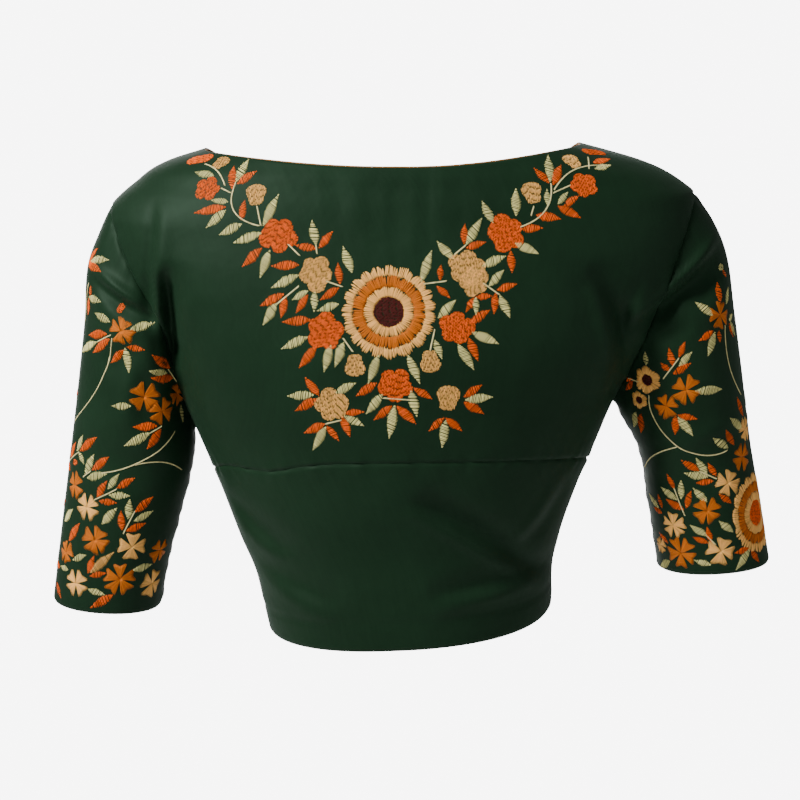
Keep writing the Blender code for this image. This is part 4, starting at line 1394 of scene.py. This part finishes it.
SLEEVE_LEAVES = {
    ("sleeve_left", "orange"): (
        (88, 262, 98, 248), (88, 262, 101, 272), (90, 296, 91, 286), (89, 298, 88, 315),
        (107, 334, 89, 335), (110, 339, 93, 353), (124, 350, 111, 363), (127, 347, 145, 350),
        (170, 368, 152, 355), (173, 378, 151, 378), (177, 377, 178, 368), (157, 426, 133, 427),
        (161, 429, 147, 449), (71, 457, 76, 442), (80, 451, 97, 437), (92, 470, 109, 457),
        (97, 497, 107, 481), (117, 488, 135, 478), (99, 501, 117, 503), (122, 530, 121, 511),
        (135, 512, 153, 497), (126, 531, 146, 523), (69, 541, 80, 523), (88, 573, 94, 556),
        (90, 576, 106, 573), (57, 582, 61, 598), (113, 595, 90, 608),
    ),
    ("sleeve_left", "cream"): (
        (91, 261, 109, 260), (89, 297, 101, 302), (110, 322, 95, 313), (130, 330, 155, 322),
        (97, 342, 82, 352), (125, 348, 129, 373), (167, 373, 149, 371), (173, 371, 172, 357),
        (131, 406, 112, 406), (150, 433, 124, 446), (181, 405, 183, 422), (77, 451, 83, 435),
        (79, 452, 84, 464), (85, 474, 94, 454), (87, 478, 107, 474), (108, 489, 119, 474),
        (109, 495, 130, 496), (102, 524, 117, 508), (128, 519, 130, 499), (134, 521, 153, 511),
        (65, 521, 73, 509), (73, 560, 86, 555), (133, 570, 152, 564), (68, 570, 61, 566),
        (88, 589, 105, 595),
    ),
    ("sleeve_left", "peach"): ((90, 573, 114, 552),),
    ("sleeve_right", "orange"): (
        (723, 270, 726, 277), (720, 303, 717, 282), (713, 331, 699, 341), (719, 331, 720, 342),
        (729, 323, 733, 337), (743, 416, 737, 397), (673, 366, 669, 348), (679, 357, 685, 342),
        (673, 374, 691, 363), (669, 371, 661, 363), (633, 379, 627, 367), (633, 381, 626, 390),
        (641, 414, 641, 433), (678, 415, 697, 419), (676, 416, 675, 435), (734, 445, 726, 430),
        (699, 471, 681, 460), (716, 476, 708, 463), (713, 481, 696, 483), (731, 503, 719, 494),
        (674, 489, 667, 474), (684, 510, 666, 499), (686, 508, 691, 491), (662, 508, 658, 494),
        (662, 513, 654, 507), (711, 542, 707, 527), (708, 543, 693, 537), (668, 543, 659, 532),
        (749, 548, 735, 553), (751, 550, 759, 562),
    ),
    ("sleeve_right", "cream"): (
        (726, 304, 728, 287), (713, 316, 695, 302), (715, 332, 708, 356), (729, 320, 732, 314),
        (730, 321, 735, 336), (679, 366, 692, 352), (646, 365, 645, 352), (636, 412, 634, 427),
        (695, 391, 722, 389), (678, 417, 693, 436), (728, 448, 713, 438), (742, 429, 730, 418),
        (707, 474, 696, 458), (708, 477, 684, 473), (707, 502, 693, 488), (681, 499, 681, 480),
        (677, 500, 661, 487), (659, 508, 649, 493), (707, 536, 690, 525), (733, 532, 719, 521),
        (750, 548, 736, 570), (711, 565, 694, 560), (670, 561, 661, 567),
    ),
}
SLEEVE_STEMS = {
    "sleeve_left": (
        ((89, 283), (83, 322)), ((111, 335), (97, 342)), ((112, 338), (105, 372), (75, 421)),
        ((168, 369), (177, 382)), ((162, 426), (150, 433)), ((175, 431), (142, 461), (101, 473)),
        ((135, 465), (160, 462), (182, 470)), ((70, 461), (79, 452)), ((83, 477), (91, 471)),
        ((94, 500), (117, 489)), ((123, 534), (135, 511)),
    ),
    "sleeve_right": (
        ((725, 325), (728, 360), (741, 395)), ((663, 379), (679, 358)), ((628, 378), (639, 382)),
        ((649, 395), (661, 430), (692, 453), (728, 450)), ((677, 447), (656, 454), (645, 467)),
        ((717, 479), (699, 471)), ((685, 516), (674, 488)), ((707, 536), (716, 545)),
    ),
}
for panel, stars in SLEEVE_STARS.items():
    print(panel, len(stars), "flowers")

# %% [markdown]
# The back is worked first. Leaves grow a little wider with their length, as they do on the real blouse.

# %% Embroider the back
LEAF_WIDTH_SHARE, LEAF_LEAST, LEAF_MOST = 0.36, 4.4 * MM, 6.4 * MM
LEAST_LENGTH = 2 * MM
LOBED_SLANTS = (40, 80)
BACK_STEM_WIDTH, SLEEVE_STEM_WIDTH = 1.05 * MM, 0.95 * MM


def lay_leaves(panel, thread, leaves, behind=True):
    """Lay the leaves whose two ends show on the panel, from behind or before."""
    for leaf_place in leaves:
        place = Leaf(*leaf_place)
        base = spot(panel, place.base_x, place.base_y, behind)
        tip = spot(panel, place.tip_x, place.tip_y, behind)
        seen = base and tip and (behind or min(base.facing, tip.facing) > EDGE_ON)
        length = (tip.place - base.place).length if seen else 0
        if length > LEAST_LENGTH:
            width = min(LEAF_MOST, max(LEAF_LEAST, length * LEAF_WIDTH_SHARE))
            lay_leaf(panel, thread, base, tip, width)


for flower in LOBED_FLOWERS:
    at = spot(BACK, flower.px, flower.py)
    rows = lobed_flower(flower.radius * at.scale, hand.uniform(*LOBED_SLANTS))
    lay_flower(BACK, flower.thread, at, rows)
for flower in CUPS:
    at = spot(BACK, flower.px, flower.py)
    closed = bud if flower.petals == BUD else cup
    lay_flower(BACK, flower.thread, at, closed(flower.radius * at.scale, flower.turn))
for thread, leaves in BACK_LEAVES.items():
    lay_leaves(BACK, thread, leaves)
for path in BACK_STEMS:
    lay_stem(BACK, [spot(BACK, *point) for point in path], BACK_STEM_WIDTH)


Band = namedtuple("Band", "thread inner outer fewer height")
ROSETTE_BANDS = (
    Band("peach", 0.76, 1.00, 0, 1.0), Band("brown", 0.52, 0.80, 3, 1.2), Band("peach", 0.31, 0.55, 6, 1.4),
)
ROSETTE_MIDDLE = 0.33
BACK_SCALLOPS, SLEEVE_SCALLOPS = 19, 15


def lay_rosette(panel, at, radius, scallops, middle):
    """Rings of outward stitches, each a little higher than the one outside it, round a filled middle."""
    for band in ROSETTE_BANDS:
        inner, outer, height = radius * band.inner, radius * band.outer, THREAD_HEIGHT * band.height
        lay_flower(panel, band.thread, at, ring(inner, outer, scallops - band.fewer, height=height))
    lay_flower(panel, middle, at, disc(radius * ROSETTE_MIDDLE))


at = spot(BACK, ROSETTE.px, ROSETTE.py)
lay_rosette(BACK, at, ROSETTE.radius * at.scale, BACK_SCALLOPS, "maroon")
print({key: sum(map(len, rows)) for key, rows in sewn.items()})

# %% [markdown]
# On the sleeves the vine also turns round to the side away from the camera. The right sleeve's rosette lies
# on its outer line, so it is placed by its turn round the arm and its share of the way to the cuff. Between
# the two sides the same way fills the sleeves' outer strips with a few star flowers and their leaves.

# %% Embroider the sleeves
for panel, stars in SLEEVE_STARS.items():
    for behind in (True, False):
        for star in stars:
            at = spot(panel, star.px, star.py, behind)
            if at and (behind or at.facing > EDGE_ON):
                radius = star.radius * at.scale
                if star.petals == BUD:
                    rows = bud(radius, star.turn)
                elif star.petals == ROUND:
                    rows = ring(radius * ROUND_EYE * EYE_OVERLAP, radius, ROUND, depth=ROUND_DEPTH)
                    lay_flower(panel, "maroon", at, disc(radius * ROUND_EYE))
                else:
                    rows = star_flower(radius, star.petals, star.turn)
                lay_flower(panel, star.thread, at, rows)
        for (leaf_panel, thread), leaves in SLEEVE_LEAVES.items():
            if leaf_panel == panel:
                lay_leaves(panel, thread, leaves, behind)
        for path in SLEEVE_STEMS[panel]:
            spots = [at for at in (spot(panel, *point, behind) for point in path) if at]
            if behind or (len(spots) > 1 and min(at.facing for at in spots) > EDGE_ON / 2):
                lay_stem(panel, spots, SLEEVE_STEM_WIDTH)


def outer_spot(side, share, turn):
    """A place by its share of the way to the cuff and its turn round the arm from the outer line."""
    outer = sleeve_points(side, [share], np.array([turn]))[0, 0]
    place, normal, _, _ = trees["sleeve_" + side.name].find_nearest(Vector(outer))
    return Spot(place, normal, 1, 1)


ROSETTE_SHARE, ROSETTE_TURN, ROSETTE_RADIUS = 0.84, 0.60, 30 * MM
at = outer_spot(RIGHT, ROSETTE_SHARE, ROSETTE_TURN)
lay_rosette("sleeve_right", at, ROSETTE_RADIUS, SLEEVE_SCALLOPS, "orange")

Outer = namedtuple("Outer", "side thread share turn radius slant")
OUTER_FLOWERS = (
    Outer(RIGHT, "brown", 0.53, -0.10, 11, 40), Outer(RIGHT, "peach", 0.66, -0.15, 11, 70),
    Outer(RIGHT, "brown", 0.80, -0.40, 10, 20), Outer(LEFT, "peach", 0.52, -0.10, 10, 50),
    Outer(LEFT, "brown", 0.66, -0.05, 11, 25), Outer(LEFT, "peach", 0.78, -0.15, 11, 65),
    Outer(LEFT, "brown", 0.90, -0.05, 11, 35),
)
OUTER_LEAF_TURNS = ((70, "orange"), (190, "cream"), (320, "orange"))
OUTER_LEAF_LENGTH, OUTER_LEAF_WIDTH, OUTER_LEAF_START = 13 * MM, 5 * MM, 1.05
OUTER_PETALS = 4
for flower in OUTER_FLOWERS:
    panel, radius = "sleeve_" + flower.side.name, flower.radius * MM
    at = outer_spot(flower.side, flower.share, flower.turn)
    lay_flower(panel, flower.thread, at, star_flower(radius, OUTER_PETALS, flower.slant))
    for turn, thread in OUTER_LEAF_TURNS:
        rows = leaf(OUTER_LEAF_LENGTH, OUTER_LEAF_WIDTH)
        rows[:, [0, 2]] += radius * OUTER_LEAF_START
        lay_flower(panel, thread, at, turned(rows, flower.slant + turn))
print(sum(len(part) for rows in sewn.values() for part in rows), "stitches in all")

# %% [markdown]
# Up to here every motif is only a list of stitches. Sewing gives each panel and colour one mesh: the little
# prism is repeated once for each stitch, and all of its points are set in one go. Its middle line is pulled
# onto the cloth, its two lower corners go to either side and its upper one stands up, less at both ends.

# %% Sew every stitch onto its cloth
for (panel, thread), parts in sewn.items():
    rows = np.concatenate(parts)
    start, end, width, height = rows[:, 0:3], rows[:, 3:6], rows[:, 6], rows[:, 7]
    run = end - start
    count = len(rows)
    centre = (start[:, None] + run[:, None] * STATIONS[None, :, None]).reshape(-1, 3)
    centre, normal = nearest(trees[panel], centre)
    centre, normal = centre.reshape(count, -1, 3), normal.reshape(count, -1, 3)
    side = unit(np.cross(normal, unit(run)[:, None]))
    ahead = sideways[None, :, None] * side[:, rings] * (width[:, None] / 2 * TAPER[rings])[..., None]
    lift = raised * height[:, None] * ARCH[rings] - SINK
    corners = centre[:, rings] + ahead + normal[:, rings] * lift[..., None]
    mesh = repeated(stitch_mesh, count)
    mesh.vertices.foreach_set("co", corners.reshape(-1).astype(np.float32))
    tone = mesh.attributes.new("tone", "FLOAT", "POINT")
    tones = np.repeat(hand.normal(1, TONE_SPREAD, count), len(rings))
    tone.data.foreach_set("value", tones.astype(np.float32))
    corner_of = np.zeros(len(mesh.loops), dtype=np.int32)
    mesh.loops.foreach_get("vertex_index", corner_of)
    along = (np.linalg.norm(run, axis=1)[:, None] * STATIONS[rings]).reshape(-1)
    # the map's second coordinate is 1 on the raised corner and 0 on the low ones; the thread material paints
    # its shade from it
    map_values = np.stack([along[corner_of], np.tile(raised, count)[corner_of]], axis=1)
    mesh.uv_layers.new(name="thread").data.foreach_set("uv", map_values.reshape(-1).astype(np.float32))
    mesh.shade_smooth()
    mesh.update()
    slot, material = THREADS[thread]
    mesh.materials.append(material)
    piece = add_object(f"{panel}_{thread}", mesh)
    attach(piece, "root")
print("sewn:", len(sewn), "pieces of embroidery")
